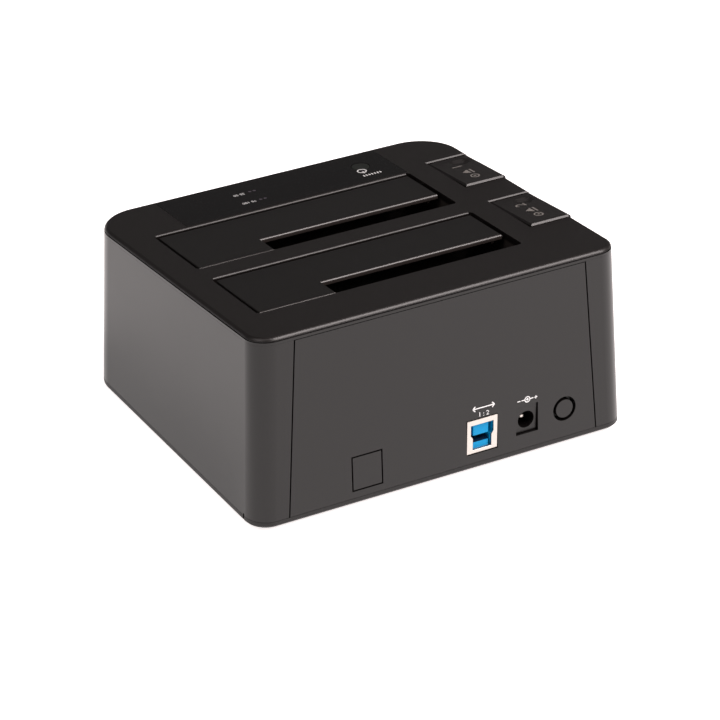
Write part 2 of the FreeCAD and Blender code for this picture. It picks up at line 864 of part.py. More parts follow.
def dimple(index):
    """The finger dish, laid along X: a round trough that runs out at both ends."""
    middle = (key_inner_x - deck_half) / 2 - dimple_shift
    trough = Vec(middle, dimple_setback - key_length / 2, dimple_round - dimple_depth)
    cutters = []
    for side in (-1, 1):
        end = trough + Vec(side * dimple_straight / 2, 0, 0)
        cutters.append(Part.makeCylinder(dimple_round, dimple_straight / 2, trough, Vec(side, 0, 0)))
        narrow = dimple_round - dimple_depth
        cutters.append(Part.makeCone(dimple_round, narrow, dimple_run, end, Vec(side, 0, 0)))
    return on_key(index, fuse(*cutters))


def socket_box(index, grow, high):
    y = bay_y(index) + socket_setback
    return box(socket_left - grow, socket_left + socket_length + grow, y - socket_width / 2 - grow,
               y + socket_width / 2 + grow, board_top_z, high)


def socket_slots(index):
    """The signal and the power slot, as (left, right) pairs along the socket."""
    margin = (socket_length - signal_slot - power_slot) / 3
    first = socket_left + margin
    second = first + signal_slot + margin
    return [(first, first + signal_slot), (second, second + power_slot)]


def make_drive_socket(index):
    top = bay_floor_z + socket_rise
    body = socket_box(index, 0, top)
    y = bay_y(index) + socket_setback
    half = socket_slot_width / 2
    for left, right in socket_slots(index):
        body = body.cut(box(left, right, y - half, y + half, top - socket_slot_depth, BIG))
    ends = edges_where(body, lambda edge: edge.BoundBox.ZLength < 0.01 and edge.BoundBox.ZMin > top - 0.01
                       and abs(edge.BoundBox.YLength - socket_width) < 0.01)
    return body.makeChamfer(socket_width / 6, ends)


def make_socket_contacts(index):
    top = bay_floor_z + socket_rise
    y = bay_y(index) + socket_setback + socket_slot_width / 2
    solids = []
    for left, right in socket_slots(index):
        count = int((right - left) / contact_pitch)
        start = (left + right) / 2 - contact_pitch * (count - 1) / 2
        for step in range(count):
            x = start + step * contact_pitch
            solids.append(box(x - contact_width / 2, x + contact_width / 2, y - contact_thick, y,
                              top - socket_slot_depth, top - socket_slot_depth / 5))
    return solids


# ---------------------------------------------------------------- boards, lights and the power button

def make_main_board():
    board = box(-board_half, board_half, board_front, board_rear, board_top_z - board_thick, board_top_z)
    for solid in board_screw_solids():
        board = board.cut(solid)
    return board


def on_board(x, y, width, depth, height):
    chip = box(x - width / 2, x + width / 2, y - depth / 2, y + depth / 2, board_top_z, board_top_z + height)
    rim = edges_where(chip, lambda edge: edge.BoundBox.ZMin > board_top_z + height / 2)
    return chip.makeChamfer(height / 5, rim)


def make_board_chips():
    return [on_board(*chip) for chip in chips]


def make_capacitors():
    return [prism(capacitor_r, capacitor_first_x + capacitor_pitch * step, capacitor_y, board_top_z,
                  board_top_z + capacitor_height) for step in range(3)]


def make_light_board():
    board = deck_box(light_board_left, light_board_right, light_board_front, light_board_rear,
                     -light_board_drop - light_board_thick, -light_board_drop)
    for solid in light_screw_solids():
        board = board.cut(solid)
    return board


def make_indicator_lights():
    half = light_width / 2
    low = -light_board_drop
    return [deck_box(x - half, x + half, y - half, y + half, low, low + light_height)
            for x, y in light_places()]


def make_light_pipes():
    low = light_height - light_board_drop
    return [deck_prism(light_pipe_r, x, y, low, -strip_thick) for x, y in light_places()]


def make_indicator_strip():
    strip = strip_region(strip_gap)
    return strip.cut(deck_rod(power_button_r + button_gap, power_button_x, power_button_y, -BIG, BIG))


def power_rod(radius, low, high):
    return deck_rod(radius, power_button_x, power_button_y, low, high)


power_flange_top = -cover_rim - button_gap
power_flange_low = power_flange_top - flange_step
power_switch_top = power_flange_low - flange_step - power_button_travel
power_body_half = 3.0


def make_power_button():
    flange = power_rod(power_button_r + flange_step, power_flange_low, power_flange_top)
    return fuse(power_rod(power_button_r, power_flange_low, 0), flange)


def make_power_plunger():
    low = power_switch_top - flange_step
    return deck_prism(plunger_r, power_button_x, power_button_y, low, power_flange_low)


def make_power_switch():
    body = deck_box(power_button_x - power_body_half, power_button_x + power_body_half,
                    power_button_y - power_body_half, power_button_y + power_body_half,
                    -light_board_drop, power_switch_top)
    return body.cut(deck_prism(plunger_r + button_gap, power_button_x, power_button_y,
                               power_switch_top - 2.5 * flange_step, BIG))


def make_ribbon():
    y0 = light_board_front + ribbon_front
    start = deck_z(y0) - (light_board_drop + light_board_thick) / cos(tilt)
    low = board_top_z + ribbon_rise
    end = board_front + ribbon_landing
    route = [(y0, start), (y0, low), (end, low), (end, board_top_z)]
    inner = [(y0 + ribbon_thick, start), (y0 + ribbon_thick, low + ribbon_thick),
             (end + ribbon_thick, low + ribbon_thick), (end + ribbon_thick, board_top_z)]
    corners = [Vec(ribbon_x, y, z) for y, z in route + inner[::-1] + route[:1]]
    sheet = Part.Face(Part.makePolygon(corners)).extrude(Vec(ribbon_width, 0, 0))
    return sheet.common(deck_layer(-BIG, -light_board_drop - light_board_thick))


# ---------------------------------------------------------------- rear panel fittings

def make_port_blank():
    half_w = blank_width / 2
    half_h = blank_height / 2
    layers = []
    for outer, inner, grow in ((0, wall, -button_gap), (wall, wall + flange_step, flange_step)):
        window = box(blank_x - half_w - grow, blank_x + half_w + grow, 0, BIG,
                     blank_z - half_h - grow, blank_z + half_h + grow)
        layers.append(case_ring(outer, inner).common(window))
    return fuse(*layers)


def data_mouth(y0, y1):
    """The stepped opening of the receptacle: wide above, narrow below."""
    right = [(4.5, 4.45), (4.5, 0.5), (3.7, -0.6), (3.7, -5.15)]
    points = right + [(-x, z) for x, z in right[::-1]]
    wire = Part.makePolygon([Vec(data_x + x, y0, data_z + z) for x, z in points + points[:1]])
    return Part.Face(wire).extrude(Vec(0, y1 - y0, 0))


def data_block(shrink, y0, y1):
    half_w = data_width / 2 - shrink
    half_h = data_height / 2 - shrink
    return box(data_x - half_w, data_x + half_w, y0, y1, data_z - half_h, data_z + half_h)


data_face_y = rear_face_y(data_z)
jack_face_y = rear_face_y(jack_z) - jack_recess


def make_data_port_shell():
    back = data_face_y - data_depth
    shell = data_block(0, back, data_face_y)
    shell = shell.cut(data_block(data_wall, back + data_wall, data_face_y - data_rim))
    return shell.cut(data_mouth(data_face_y - data_rim, data_face_y))


def make_data_port_insert():
    front = data_face_y - data_rim
    floor = data_face_y - data_cavity_depth
    block = data_block(data_wall, data_face_y - data_depth + data_wall, front).cut(data_mouth(floor, front))
    half = tongue_width / 2
    tip = data_face_y - tongue_recess
    tongues = [box(data_x - half, data_x + half, floor - 1, tip, data_z + low, data_z + high)
               for low, high in ((-upper_tongue_low, 4.45), (-5.15, -2.4))]
    return fuse(block, *tongues)


def make_data_contacts():
    back = data_face_y - data_cavity_depth
    tip = data_face_y - 2 * tongue_recess
    low = data_z - upper_tongue_low - data_contact_thick
    solids = []
    for step in range(5):
        x = data_x + (step - 2) * data_contact_pitch
        solids.append(box(x - data_contact_half, x + data_contact_half, back, tip,
                          low, low + data_contact_thick))
    return solids


def make_power_jack():
    back = jack_face_y - jack_depth
    body = box(jack_x - jack_width / 2, jack_x + jack_width / 2, back, jack_face_y,
               jack_z - jack_height / 2, jack_z + jack_height / 2)
    foot = box(jack_x - jack_width / 2, jack_x + jack_width / 2, back, rear_face_y(board_top_z) - 2 * wall,
               board_top_z, jack_z)
    bore = rod(jack_bore_r, (jack_x, jack_face_y - jack_bore_depth, jack_bore_z), (jack_x, BIG, jack_bore_z))
    return fuse(body, foot).cut(bore)


def make_jack_pin():
    start = jack_face_y - jack_bore_depth
    end = jack_face_y - jack_pin_recess
    return rod(jack_pin_r, (jack_x, start, jack_bore_z), (jack_x, end, jack_bore_z))


def rear_rod(radius, y0, y1):
    return rod(radius, (rear_button_x, y0, rear_button_z), (rear_button_x, y1, rear_button_z))


def rear_bar(radius, y0, y1):
    return bar(radius, (rear_button_x, y0, rear_button_z), (rear_button_x, y1, rear_button_z))


rear_flange_y = rear_face_y(rear_button_z + rear_hole_r + flange_step) - wall - button_gap
rear_switch_y = rear_flange_y - 2 * flange_step - rear_button_travel


def make_rear_button():
    cap = case().common(rear_rod(rear_button_r, rear_flange_y - flange_step, BIG))
    return fuse(cap, rear_rod(rear_hole_r + flange_step / 2, rear_flange_y - flange_step, rear_flange_y))


def make_rear_plunger():
    return rear_bar(plunger_r, rear_switch_y - flange_step, rear_flange_y - flange_step)


def make_rear_switch():
    half = switch_side / 2
    body = box(rear_button_x - half, rear_button_x + half, rear_switch_y - switch_depth, rear_switch_y,
               board_top_z, rear_button_z + half)
    hole_end = rear_switch_y - flange_step - 2 * rear_button_travel
    return body.cut(rear_bar(plunger_r + button_gap, hole_end, BIG))


# ---------------------------------------------------------------- all the pieces

def all_nodes():
    nodes = {
        "main_shell": make_main_shell(),
        "top_cover": make_top_cover(),
        "rear_panel": make_rear_panel(),
        "base_plate": make_base_plate(),
        "indicator_strip": make_indicator_strip(),
        "power_button": make_power_button(),
        "power_plunger": make_power_plunger(),
        "power_switch": make_power_switch(),
        "light_board": make_light_board(),
        "indicator_lights": make_indicator_lights(),
        "light_pipes": make_light_pipes(),
        "light_ribbon": make_ribbon(),
        "main_board": make_main_board(),
        "board_chips": make_board_chips(),
        "board_capacitors": make_capacitors(),
        "port_blank": make_port_blank(),
        "data_port_shell": make_data_port_shell(),
        "data_port_insert": make_data_port_insert(),
        "data_port_contacts": make_data_contacts(),
        "power_jack": make_power_jack(),
        "jack_pin": make_jack_pin(),
        "rear_button": make_rear_button(),
        "rear_plunger": make_rear_plunger(),
        "rear_switch": make_rear_switch(),
        "case_screws": corner_screw_solids(),
        "board_screws": board_screw_solids(),
        "well_screws": well_screw_solids(),
        "light_board_screws": light_screw_solids(),
        "rubber_feet": make_feet(),
    }
    for index, name in enumerate(bay_names):
        pin = hinge_rod(index, hinge_pin_r, bay_left - well_wall, bay_right + well_wall)
        nodes["bay_well_" + name] = make_well(index)
        nodes["bay_door_" + name] = make_door(index)
        nodes["door_pin_" + name] = pin
        nodes["door_spring_" + name] = make_door_spring(index)
        nodes["eject_key_" + name] = make_key(index)
        nodes["key_spring_" + name] = make_key_spring(index)
        nodes["eject_lever_" + name] = make_lever(index)
        nodes["lever_pin_" + name] = lever_pin_solid(index)
        nodes["drive_socket_" + name] = make_drive_socket(index)
        nodes["socket_contacts_" + name] = make_socket_contacts(index)
    return nodes


os.makedirs("parts", exist_ok=True)
for node, shape in all_nodes().items():
    whole = Part.makeCompound(shape) if isinstance(shape, list) else shape
    whole.exportStep("parts/" + node + ".step")
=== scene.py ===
import json
from math import cos, radians, sin

import bmesh
import bpy
from mathutils import Matrix, Quaternion, Vector

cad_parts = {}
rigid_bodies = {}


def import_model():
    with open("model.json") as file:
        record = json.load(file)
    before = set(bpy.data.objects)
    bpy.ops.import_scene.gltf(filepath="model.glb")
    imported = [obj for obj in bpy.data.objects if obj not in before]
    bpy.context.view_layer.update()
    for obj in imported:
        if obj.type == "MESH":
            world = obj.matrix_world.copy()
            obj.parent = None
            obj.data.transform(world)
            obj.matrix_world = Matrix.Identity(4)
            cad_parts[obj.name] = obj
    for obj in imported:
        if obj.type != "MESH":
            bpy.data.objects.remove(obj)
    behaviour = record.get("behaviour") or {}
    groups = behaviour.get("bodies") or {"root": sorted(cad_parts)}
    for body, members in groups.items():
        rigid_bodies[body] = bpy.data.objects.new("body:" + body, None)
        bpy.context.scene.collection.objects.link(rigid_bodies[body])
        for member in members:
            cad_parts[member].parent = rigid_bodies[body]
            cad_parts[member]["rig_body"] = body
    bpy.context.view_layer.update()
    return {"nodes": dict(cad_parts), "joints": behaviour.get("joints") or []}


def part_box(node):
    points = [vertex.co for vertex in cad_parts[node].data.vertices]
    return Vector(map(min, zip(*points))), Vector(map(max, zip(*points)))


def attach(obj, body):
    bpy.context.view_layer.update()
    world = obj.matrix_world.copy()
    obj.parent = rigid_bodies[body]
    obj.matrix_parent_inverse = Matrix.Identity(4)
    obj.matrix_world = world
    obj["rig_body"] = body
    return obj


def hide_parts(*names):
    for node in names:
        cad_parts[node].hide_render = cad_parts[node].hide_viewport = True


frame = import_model()
mm = 0.001


# ---------------------------------------------------------------- places taken from the frame

def joint(name):
    """A joint of the frame, by its name."""
    return next(j for j in frame["joints"] if j["name"] == name)


def corner(node, side):
    """The lowest (0) or the highest (1) corner of a node's box."""
    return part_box(node)[side]


deck_up = -Vector(joint("power_button_press")["axis"]).normalized()
user_right = Vector((1.0, 0.0, 0.0))
upwards = Vector((0.0, 0.0, 1.0))
backwards = Vector((0.0, 1.0, 0.0))
strip_mesh = frame["nodes"]["indicator_strip"].data
deck_level = max(vertex.co.dot(deck_up) for vertex in strip_mesh.vertices)


def on_deck(x, y, height=0.0):
    """The point of the sloping deck over x and y, moved up from it."""
    return Vector((x, y, (deck_level - y * deck_up.y) / deck_up.z)) + deck_up * height


# ---------------------------------------------------------------- colours

def srgb(red, green, blue):
    """A colour as paint makers quote it, 0 to 255, as linear light."""
    def linear(value):
        share = value / 255
        return share / 12.92 if share <= 0.04045 else ((share + 0.055) / 1.055) ** 2.4
    return linear(red), linear(green), linear(blue), 1.0


dust_grey = srgb(150, 147, 142)


# ---------------------------------------------------------------- shared shader groups

def new_group(name, inputs, outputs):
    """An empty shader group with named sockets, its input node and its output node."""
    group = bpy.data.node_groups.new(name, "ShaderNodeTree")
    for label, kind, value in inputs:
        socket = group.interface.new_socket(label, in_out="INPUT", socket_type=kind)
        socket.default_value = value
    for label, kind in outputs:
        group.interface.new_socket(label, in_out="OUTPUT", socket_type=kind)
    return group, group.nodes.new("NodeGroupInput"), group.nodes.new("NodeGroupOutput")


def math_node(tree, operation, first, second=None, clamp=False):
    node = tree.nodes.new("ShaderNodeMath")
    node.operation = operation
    node.use_clamp = clamp
    for socket, value in zip(node.inputs, (first, second)):
        if value is None:
            continue
        if isinstance(value, bpy.types.NodeSocket):
            tree.links.new(value, socket)
        else:
            socket.default_value = value
    return node.outputs[0]


def noise(tree, scale, detail=2.0, roughness=0.5):
    """A cloudy pattern fixed to the piece."""
    place = tree.nodes.new("ShaderNodeTexCoord")
    node = tree.nodes.new("ShaderNodeTexNoise")
    tree.links.new(place.outputs["Object"], node.inputs["Vector"])
    node.inputs["Detail"].default_value = detail
    node.inputs["Roughness"].default_value = roughness
    if isinstance(scale, bpy.types.NodeSocket):
        tree.links.new(scale, node.inputs["Scale"])
    else:
        node.inputs["Scale"].default_value = scale
    return node.outputs["Fac"]


def moulded_grain_group():
    """The spark-eroded grain of a moulding: a fine height, and its own light and dark flecks."""
    group, given, made = new_group(
        "moulded_grain",
        [("Grain Scale", "NodeSocketFloat", 3500.0), ("Grain Depth", "NodeSocketFloat", 1.0)],
        [("Height", "NodeSocketFloat"), ("Fleck", "NodeSocketFloat")],
    )
    fine = noise(group, given.outputs["Grain Scale"], 3.0, 0.6)
    pits = group.nodes.new("ShaderNodeTexVoronoi")
    place = group.nodes.new("ShaderNodeTexCoord")
    group.links.new(place.outputs["Object"], pits.inputs["Vector"])
    group.links.new(given.outputs["Grain Scale"], pits.inputs["Scale"])
    shallow_pits = math_node(group, "MULTIPLY", pits.outputs["Distance"], 0.5)
    both = math_node(group, "ADD", fine, shallow_pits)
    height = math_node(group, "MULTIPLY", both, given.outputs["Grain Depth"])
    group.links.new(height, made.inputs["Height"])
    group.links.new(both, made.inputs["Fleck"])
    return group


def handling_group():
    """Dust and faint finger marks: broad soft patches, and a few specks."""
    group, given, made = new_group(
        "handling",
        [("Dust", "NodeSocketFloat", 0.3), ("Marks", "NodeSocketFloat", 0.3)],
        [("Dust Mask", "NodeSocketFloat"), ("Mark Mask", "NodeSocketFloat")],
    )
    specks = math_node(group, "GREATER_THAN", noise(group, 1700.0, 1.0), 0.80)
    soft = math_node(group, "MULTIPLY", noise(group, 38.0, 4.0, 0.6), 0.35)
    cover = math_node(group, "ADD", specks, soft, True)
    dust = math_node(group, "MULTIPLY", cover, given.outputs["Dust"])
    smear = noise(group, 26.0, 3.0, 0.7)
    marks = math_node(group, "MULTIPLY", smear, given.outputs["Marks"])
    group.links.new(dust, made.inputs["Dust Mask"])
    group.links.new(marks, made.inputs["Mark Mask"])
    return group


def edge_group():
    """Where an edge is, 0 on flats and 1 on sharp edges: the rounded normal against the true one."""
    group, given, made = new_group(
        "worn_edge",
        [("Amount", "NodeSocketFloat", 0.5)],
        [("Edge", "NodeSocketFloat")],
    )
    bevel = group.nodes.new("ShaderNodeBevel")
    bevel.samples = 4
    bevel.inputs["Radius"].default_value = 0.35 * mm
    geometry = group.nodes.new("ShaderNodeNewGeometry")
    dot = group.nodes.new("ShaderNodeVectorMath")
    dot.operation = "DOT_PRODUCT"
    group.links.new(bevel.outputs["Normal"], dot.inputs[0])
    group.links.new(geometry.outputs["Normal"], dot.inputs[1])
    turned = math_node(group, "SUBTRACT", 1.0, dot.outputs["Value"])
    broken = math_node(group, "MULTIPLY", turned, noise(group, 900.0, 3.0))
    strong = math_node(group, "MULTIPLY", broken, 6.0, True)
    worn = math_node(group, "MULTIPLY", strong, given.outputs["Amount"])
    group.links.new(worn, made.inputs["Edge"])
    return group


grain = moulded_grain_group()
handling = handling_group()
worn_edge = edge_group()


def place_group(tree, group, **values):
    node = tree.nodes.new("ShaderNodeGroup")
    node.node_tree = group
    for label, value in values.items():
        node.inputs[label.replace("_", " ")].default_value = value
    return node


def mix_colour(tree, share, first, second):
    node = tree.nodes.new("ShaderNodeMix")
    node.data_type = "RGBA"
    for index, value in ((0, share), (6, first), (7, second)):
        if isinstance(value, bpy.types.NodeSocket):
            tree.links.new(value, node.inputs[index])
        else:
            node.inputs[index].default_value = value
    return node.outputs[2]


def span(tree, value, low, high):
    """value, 0 to 1, spread between low and high."""
    node = tree.nodes.new("ShaderNodeMapRange")
    tree.links.new(value, node.inputs["Value"])
    node.inputs["To Min"].default_value = low
    node.inputs["To Max"].default_value = high
    return node.outputs["Result"]


def new_material(name):
    material = bpy.data.materials.new(name)
    material.use_nodes = True
    tree = material.node_tree
    return material, tree, tree.nodes["Principled BSDF"]


def bump_from(tree, surface, height, distance, strength=1.0):
    bump = tree.nodes.new("ShaderNodeBump")
    bump.inputs["Strength"].default_value = strength
    bump.inputs["Distance"].default_value = distance
    tree.links.new(height, bump.inputs["Height"])
    tree.links.new(bump.outputs["Normal"], surface.inputs["Normal"])


def plastic(name, colour, rough, grain_scale=3500.0, grain_depth=0.03 * mm, dust=0.05, marks=0.3,
            wear=0.3, specular=0.5):
    """A moulded plastic with grain, faint dust and worn edges."""
    material, tree, surface = new_material(name)
    texture = place_group(tree, grain, Grain_Scale=grain_scale)
    used = place_group(tree, handling, Dust=dust, Marks=marks)
    edge = place_group(tree, worn_edge, Amount=wear)
    lighter = tuple(min(1.0, 1.7 * c + 0.012) for c in colour[:3]) + (1.0,)
    darker = tuple(0.8 * c for c in colour[:3]) + (1.0,)
    body = mix_colour(tree, texture.outputs["Fleck"], darker, colour)
    dusty = mix_colour(tree, used.outputs["Dust Mask"], body, dust_grey)
    worn = mix_colour(tree, edge.outputs["Edge"], dusty, lighter)
    tree.links.new(worn, surface.inputs["Base Color"])
    sheen = span(tree, used.outputs["Mark Mask"], rough, rough + 0.18)
    tree.links.new(sheen, surface.inputs["Roughness"])
    surface.inputs["Specular IOR Level"].default_value = specular
    bump_from(tree, surface, texture.outputs["Height"], grain_depth)
    return material


def metal(name, colour, rough, scratch=0.3):
    """A bare or plated metal with fine drawing lines."""
    material, tree, surface = new_material(name)
    place = tree.nodes.new("ShaderNodeTexCoord")
    stretch = tree.nodes.new("ShaderNodeMapping")
    stretch.inputs["Scale"].default_value = (1.0, 1.0, 14.0)
    lines = tree.nodes.new("ShaderNodeTexNoise")
    lines.inputs["Scale"].default_value = 700.0
    tree.links.new(place.outputs["Object"], stretch.inputs["Vector"])
    tree.links.new(stretch.outputs["Vector"], lines.inputs["Vector"])
    darker = tuple(0.72 * c for c in colour[:3]) + (1.0,)
    shade_of_metal = mix_colour(tree, lines.outputs["Fac"], darker, colour)
    sheen = span(tree, lines.outputs["Fac"], rough, rough + scratch)
    tree.links.new(shade_of_metal, surface.inputs["Base Color"])
    tree.links.new(sheen, surface.inputs["Roughness"])
    surface.inputs["Metallic"].default_value = 1.0
    bump_from(tree, surface, lines.outputs["Fac"], 0.01 * mm, 0.5)
    return material


def circuit_board(name):
    """Solder mask over copper tracks."""
    material, tree, surface = new_material(name)
    place = tree.nodes.new("ShaderNodeTexCoord")
    tracks = tree.nodes.new("ShaderNodeTexBrick")
    tracks.inputs["Scale"].default_value = 90.0
    tracks.inputs["Mortar Size"].default_value = 0.03
    tracks.inputs["Color1"].default_value = srgb(12, 58, 34)
    tracks.inputs["Color2"].default_value = srgb(16, 70, 40)
    tracks.inputs["Mortar"].default_value = srgb(30, 92, 52)
    tree.links.new(place.outputs["Object"], tracks.inputs["Vector"])
    tree.links.new(tracks.outputs["Color"], surface.inputs["Base Color"])
    tree.links.new(span(tree, noise(tree, 400.0), 0.3, 0.45), surface.inputs["Roughness"])
    bump_from(tree, surface, tracks.outputs["Fac"], 0.03 * mm)
    return material


def clear_plastic(name):
    """The moulded clear plastic of a light guide, faintly cloudy."""
    material, tree, surface = new_material(name)
    cloud = noise(tree, 300.0)
    tint = mix_colour(tree, cloud, srgb(225, 228, 232), srgb(245, 246, 248))
    tree.links.new(tint, surface.inputs["Base Color"])
    tree.links.new(span(tree, cloud, 0.12, 0.3), surface.inputs["Roughness"])
    surface.inputs["Transmission Weight"].default_value = 0.6
    surface.inputs["IOR"].default_value = 1.49
    return material


def printed_ink(name, colour):
    """Screen-printed ink: slightly uneven, a little raised."""
    material, tree, surface = new_material(name)
    cover = noise(tree, 2500.0, 3.0, 0.7)
    thin = tuple(0.82 * c for c in colour[:3]) + (1.0,)
    tree.links.new(mix_colour(tree, cover, thin, colour), surface.inputs["Base Color"])
    tree.links.new(span(tree, cover, 0.45, 0.6), surface.inputs["Roughness"])
    bump_from(tree, surface, cover, 0.01 * mm)
    return material


satin_skin = {"grain_scale": 3000.0, "grain_depth": 0.006 * mm, "dust": 0.003, "specular": 0.36}
fine_grain = {"grain_scale": 3200.0, "grain_depth": 0.008 * mm, "dust": 0.004}
deck_plastic = plastic("deck_plastic", srgb(17, 13, 12), 0.36, grain_scale=2600.0,
                       grain_depth=0.018 * mm, dust=0.004)
shell_plastic = plastic("shell_plastic", srgb(13, 11, 11), 0.28, **satin_skin)
panel_plastic = plastic("panel_plastic", srgb(13, 11, 11), 0.28, **satin_skin)
door_plastic = plastic("door_plastic", srgb(16, 13, 12), 0.27, **fine_grain)
key_plastic = plastic("key_plastic", srgb(18, 14, 13), 0.34, **fine_grain)
strip_plastic = plastic("strip_plastic", srgb(10, 7, 7), 0.16, grain_scale=1200.0,
                        grain_depth=0.001 * mm, dust=0.003, specular=0.34)
inner_plastic = plastic("inner_plastic", srgb(50, 45, 42), 0.5, grain_scale=2600.0,
                        grain_depth=0.01 * mm, dust=0.01)
switch_plastic = plastic("switch_plastic", srgb(30, 30, 31), 0.4)
insulator_plastic = plastic("insulator_plastic", srgb(4, 138, 192), 0.4,
                            grain_depth=0.006 * mm, dust=0.0, specular=0.15)
# Door edges that face the light: shinier from rubbing, and lighter in colour as a painted highlight.
rubbed_highlight_plastic = plastic("rubbed_highlight_plastic", srgb(40, 35, 33), 0.33, grain_scale=3200.0,
                         grain_depth=0.003 * mm, dust=0.0, specular=0.62)
# Painted shade: a darker blue for the port's throat and the lower tongue's top, where shade falls.
painted_throat_shade = plastic("painted_throat_shade", srgb(3, 34, 62), 0.4, grain_depth=0.006 * mm, dust=0.0)
base_plastic = plastic("base_plastic", srgb(13, 11, 11), 0.42, grain_scale=2600.0,
                       grain_depth=0.006 * mm, dust=0.004, specular=0.34)
button_plastic = plastic("button_plastic", srgb(26, 28, 25), 0.34, grain_scale=3200.0,
                         grain_depth=0.004 * mm, dust=0.002, specular=0.4)
socket_plastic = plastic("socket_plastic", srgb(12, 10, 10), 0.28,
                         grain_depth=0.006 * mm, dust=0.003, specular=0.34)
chip_plastic = plastic("chip_plastic", srgb(28, 28, 29), 0.5)
rubber = plastic("rubber", srgb(30, 30, 30), 0.75, grain_scale=1800.0,
                 grain_depth=0.08 * mm, dust=0.12)
tape = plastic("tape", srgb(196, 190, 176), 0.5, dust=0.02)
steel = metal("steel", srgb(176, 176, 178), 0.28)
zinc = metal("zinc", srgb(160, 160, 158), 0.34)
plated = metal("plated", srgb(205, 198, 192), 0.22, 0.15)
gold = metal("gold", srgb(214, 170, 92), 0.2, 0.15)
can = metal("can", srgb(150, 152, 156), 0.3)
board_green = circuit_board("board_green")
clear = clear_plastic("clear")
white_ink = printed_ink("white_ink", srgb(226, 226, 226))
grey_ink = printed_ink("grey_ink", srgb(120, 116, 112))
window_ink = printed_ink("window_ink", srgb(64, 58, 66))


# ---------------------------------------------------------------- carried-over nodes

finishes = {
    "main_shell": shell_plastic,
    "top_cover": deck_plastic,
    "rear_panel": panel_plastic,
    "base_plate": base_plastic,
    "indicator_strip": strip_plastic,
    "power_button": button_plastic,
    "power_plunger": inner_plastic,
    "power_switch": switch_plastic,
    "light_board": board_green,
    "indicator_lights": clear,
    "light_pipes": clear,
    "light_ribbon": tape,
    "main_board": board_green,
    "board_chips": chip_plastic,
    "board_capacitors": can,
    "port_blank": panel_plastic,
    "data_port_shell": plated,
    "data_port_insert": insulator_plastic,
    "data_port_contacts": gold,
    "power_jack": socket_plastic,
    "jack_pin": plated,
    "rear_button": panel_plastic,
    "rear_plunger": inner_plastic,
    "rear_switch": switch_plastic,
    "case_screws": zinc,
    "board_screws": zinc,
    "well_screws": zinc,
    "light_board_screws": zinc,
    "rubber_feet": rubber,
}
bay_finishes = {
    "bay_well_": inner_plastic,
    "bay_door_": door_plastic,
    "door_pin_": steel,
    "door_spring_": steel,
    "eject_key_": key_plastic,
    "key_spring_": steel,
    "eject_lever_": inner_plastic,
    "lever_pin_": steel,
    "drive_socket_": socket_plastic,
    "socket_contacts_": gold,
}
for stem, finish in bay_finishes.items():
    for bay in ("front", "rear"):
        finishes[stem + bay] = finish
for node, finish in finishes.items():
    slots = frame["nodes"][node].data.materials
    slots.clear()
    slots.append(finish)


# ---------------------------------------------------------------- making pieces

def start_fresh():
    """Nothing selected, so that the next tool works on its own piece only."""
    bpy.ops.object.select_all(action="DESELECT")


def pick(piece):
    """Just this piece selected, and active."""
    start_fresh()
    piece.select_set(True)
    bpy.context.view_layer.objects.active = piece


def apply_modifier(piece, kind, **settings):
    pick(piece)
    modifier = piece.modifiers.new(kind.lower(), kind)
    for name, value in settings.items():
        setattr(modifier, name, value)
    bpy.ops.object.modifier_apply(modifier=modifier.name)


def copy_of(pattern):
    """A second piece of the same shape, with a mesh of its own."""
    copy = pattern.copy()
    copy.data = pattern.data.copy()
    bpy.context.scene.collection.objects.link(copy)
    return copy


def scrap(*patterns):
    """Throw away what was only a pattern or a cutter."""
    for pattern in patterns:
        bpy.data.objects.remove(pattern)


def round_edges(piece, width, segments=2, angle=30.0):
    apply_modifier(piece, "BEVEL", width=width, segments=segments, limit_method="ANGLE",
                   angle_limit=radians(angle), harden_normals=False)


def shade(piece, angle=35.0):
    pick(piece)
    bpy.ops.object.shade_smooth_by_angle(angle=radians(angle))


def stand_at(place, along, up):
    """The placing of a piece drawn at the origin: its X along one way and its Z another."""
    side = up.cross(along).normalized()
    forward = side.cross(up).normalized()
    turn = Matrix((forward, side, up.normalized())).transposed().to_4x4()
    return Matrix.Translation(place) @ turn


def settle(piece, placing):
    """Bake a piece's place into its mesh, and leave its object at the origin."""
    piece.data.transform(placing @ piece.matrix_basis)
    piece.matrix_basis = Matrix.Identity(4)


def finish_piece(piece, name, material, body, placing=None, smooth=35.0, replaced=()):
    """Put a new piece in its place, and give it its name, its finish and the body it rides on."""
    if placing:
        settle(piece, placing)
    shade(piece, smooth)
    piece.name = name
    piece.data.materials.clear()
    piece.data.materials.append(material)
    if replaced:
        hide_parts(*replaced)
    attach(piece, body)
    return piece


def join(pieces):
    """Several pieces as one object; their meshes stay apart inside it."""
    start_fresh()
    for piece in pieces:
        piece.select_set(True)
    bpy.context.view_layer.objects.active = pieces[0]
    bpy.ops.object.join()
    return pieces[0]


def select_faces(piece, test):
    """In edit mode, select just the faces that pass a test."""
    bpy.ops.mesh.select_mode(type="FACE")
    bpy.ops.mesh.select_all(action="DESELECT")
    shape = bmesh.from_edit_mesh(piece.data)
    for face in shape.faces:
        face.select = test(face)
    shape.select_flush_mode()
    bmesh.update_edit_mesh(piece.data)


# ---------------------------------------------------------------- loose parts of a node

weld = 0.002 * mm


def solids_of(node):
    """The corner places of each solid that a node holds, in the order of its mesh."""
    shape = bmesh.new()
    shape.from_mesh(frame["nodes"][node].data)
    bmesh.ops.remove_doubles(shape, verts=shape.verts, dist=weld)
    seen = set()
    found = []
    for start in shape.verts:
        if start in seen:
            continue
        seen.add(start)
        reached = [start]
        for vertex in reached:
            for edge in vertex.link_edges:
                other = edge.other_vert(vertex)
                if other not in seen:
                    seen.add(other)
                    reached.append(other)
        found.append([vertex.co.copy() for vertex in reached])
    shape.free()
    return found


def ends_of(places):
    """The lowest and the highest corner of the box round some places."""
    low = Vector([min(place[axis] for place in places) for axis in range(3)])
    high = Vector([max(place[axis] for place in places) for axis in range(3)])
    return low, high


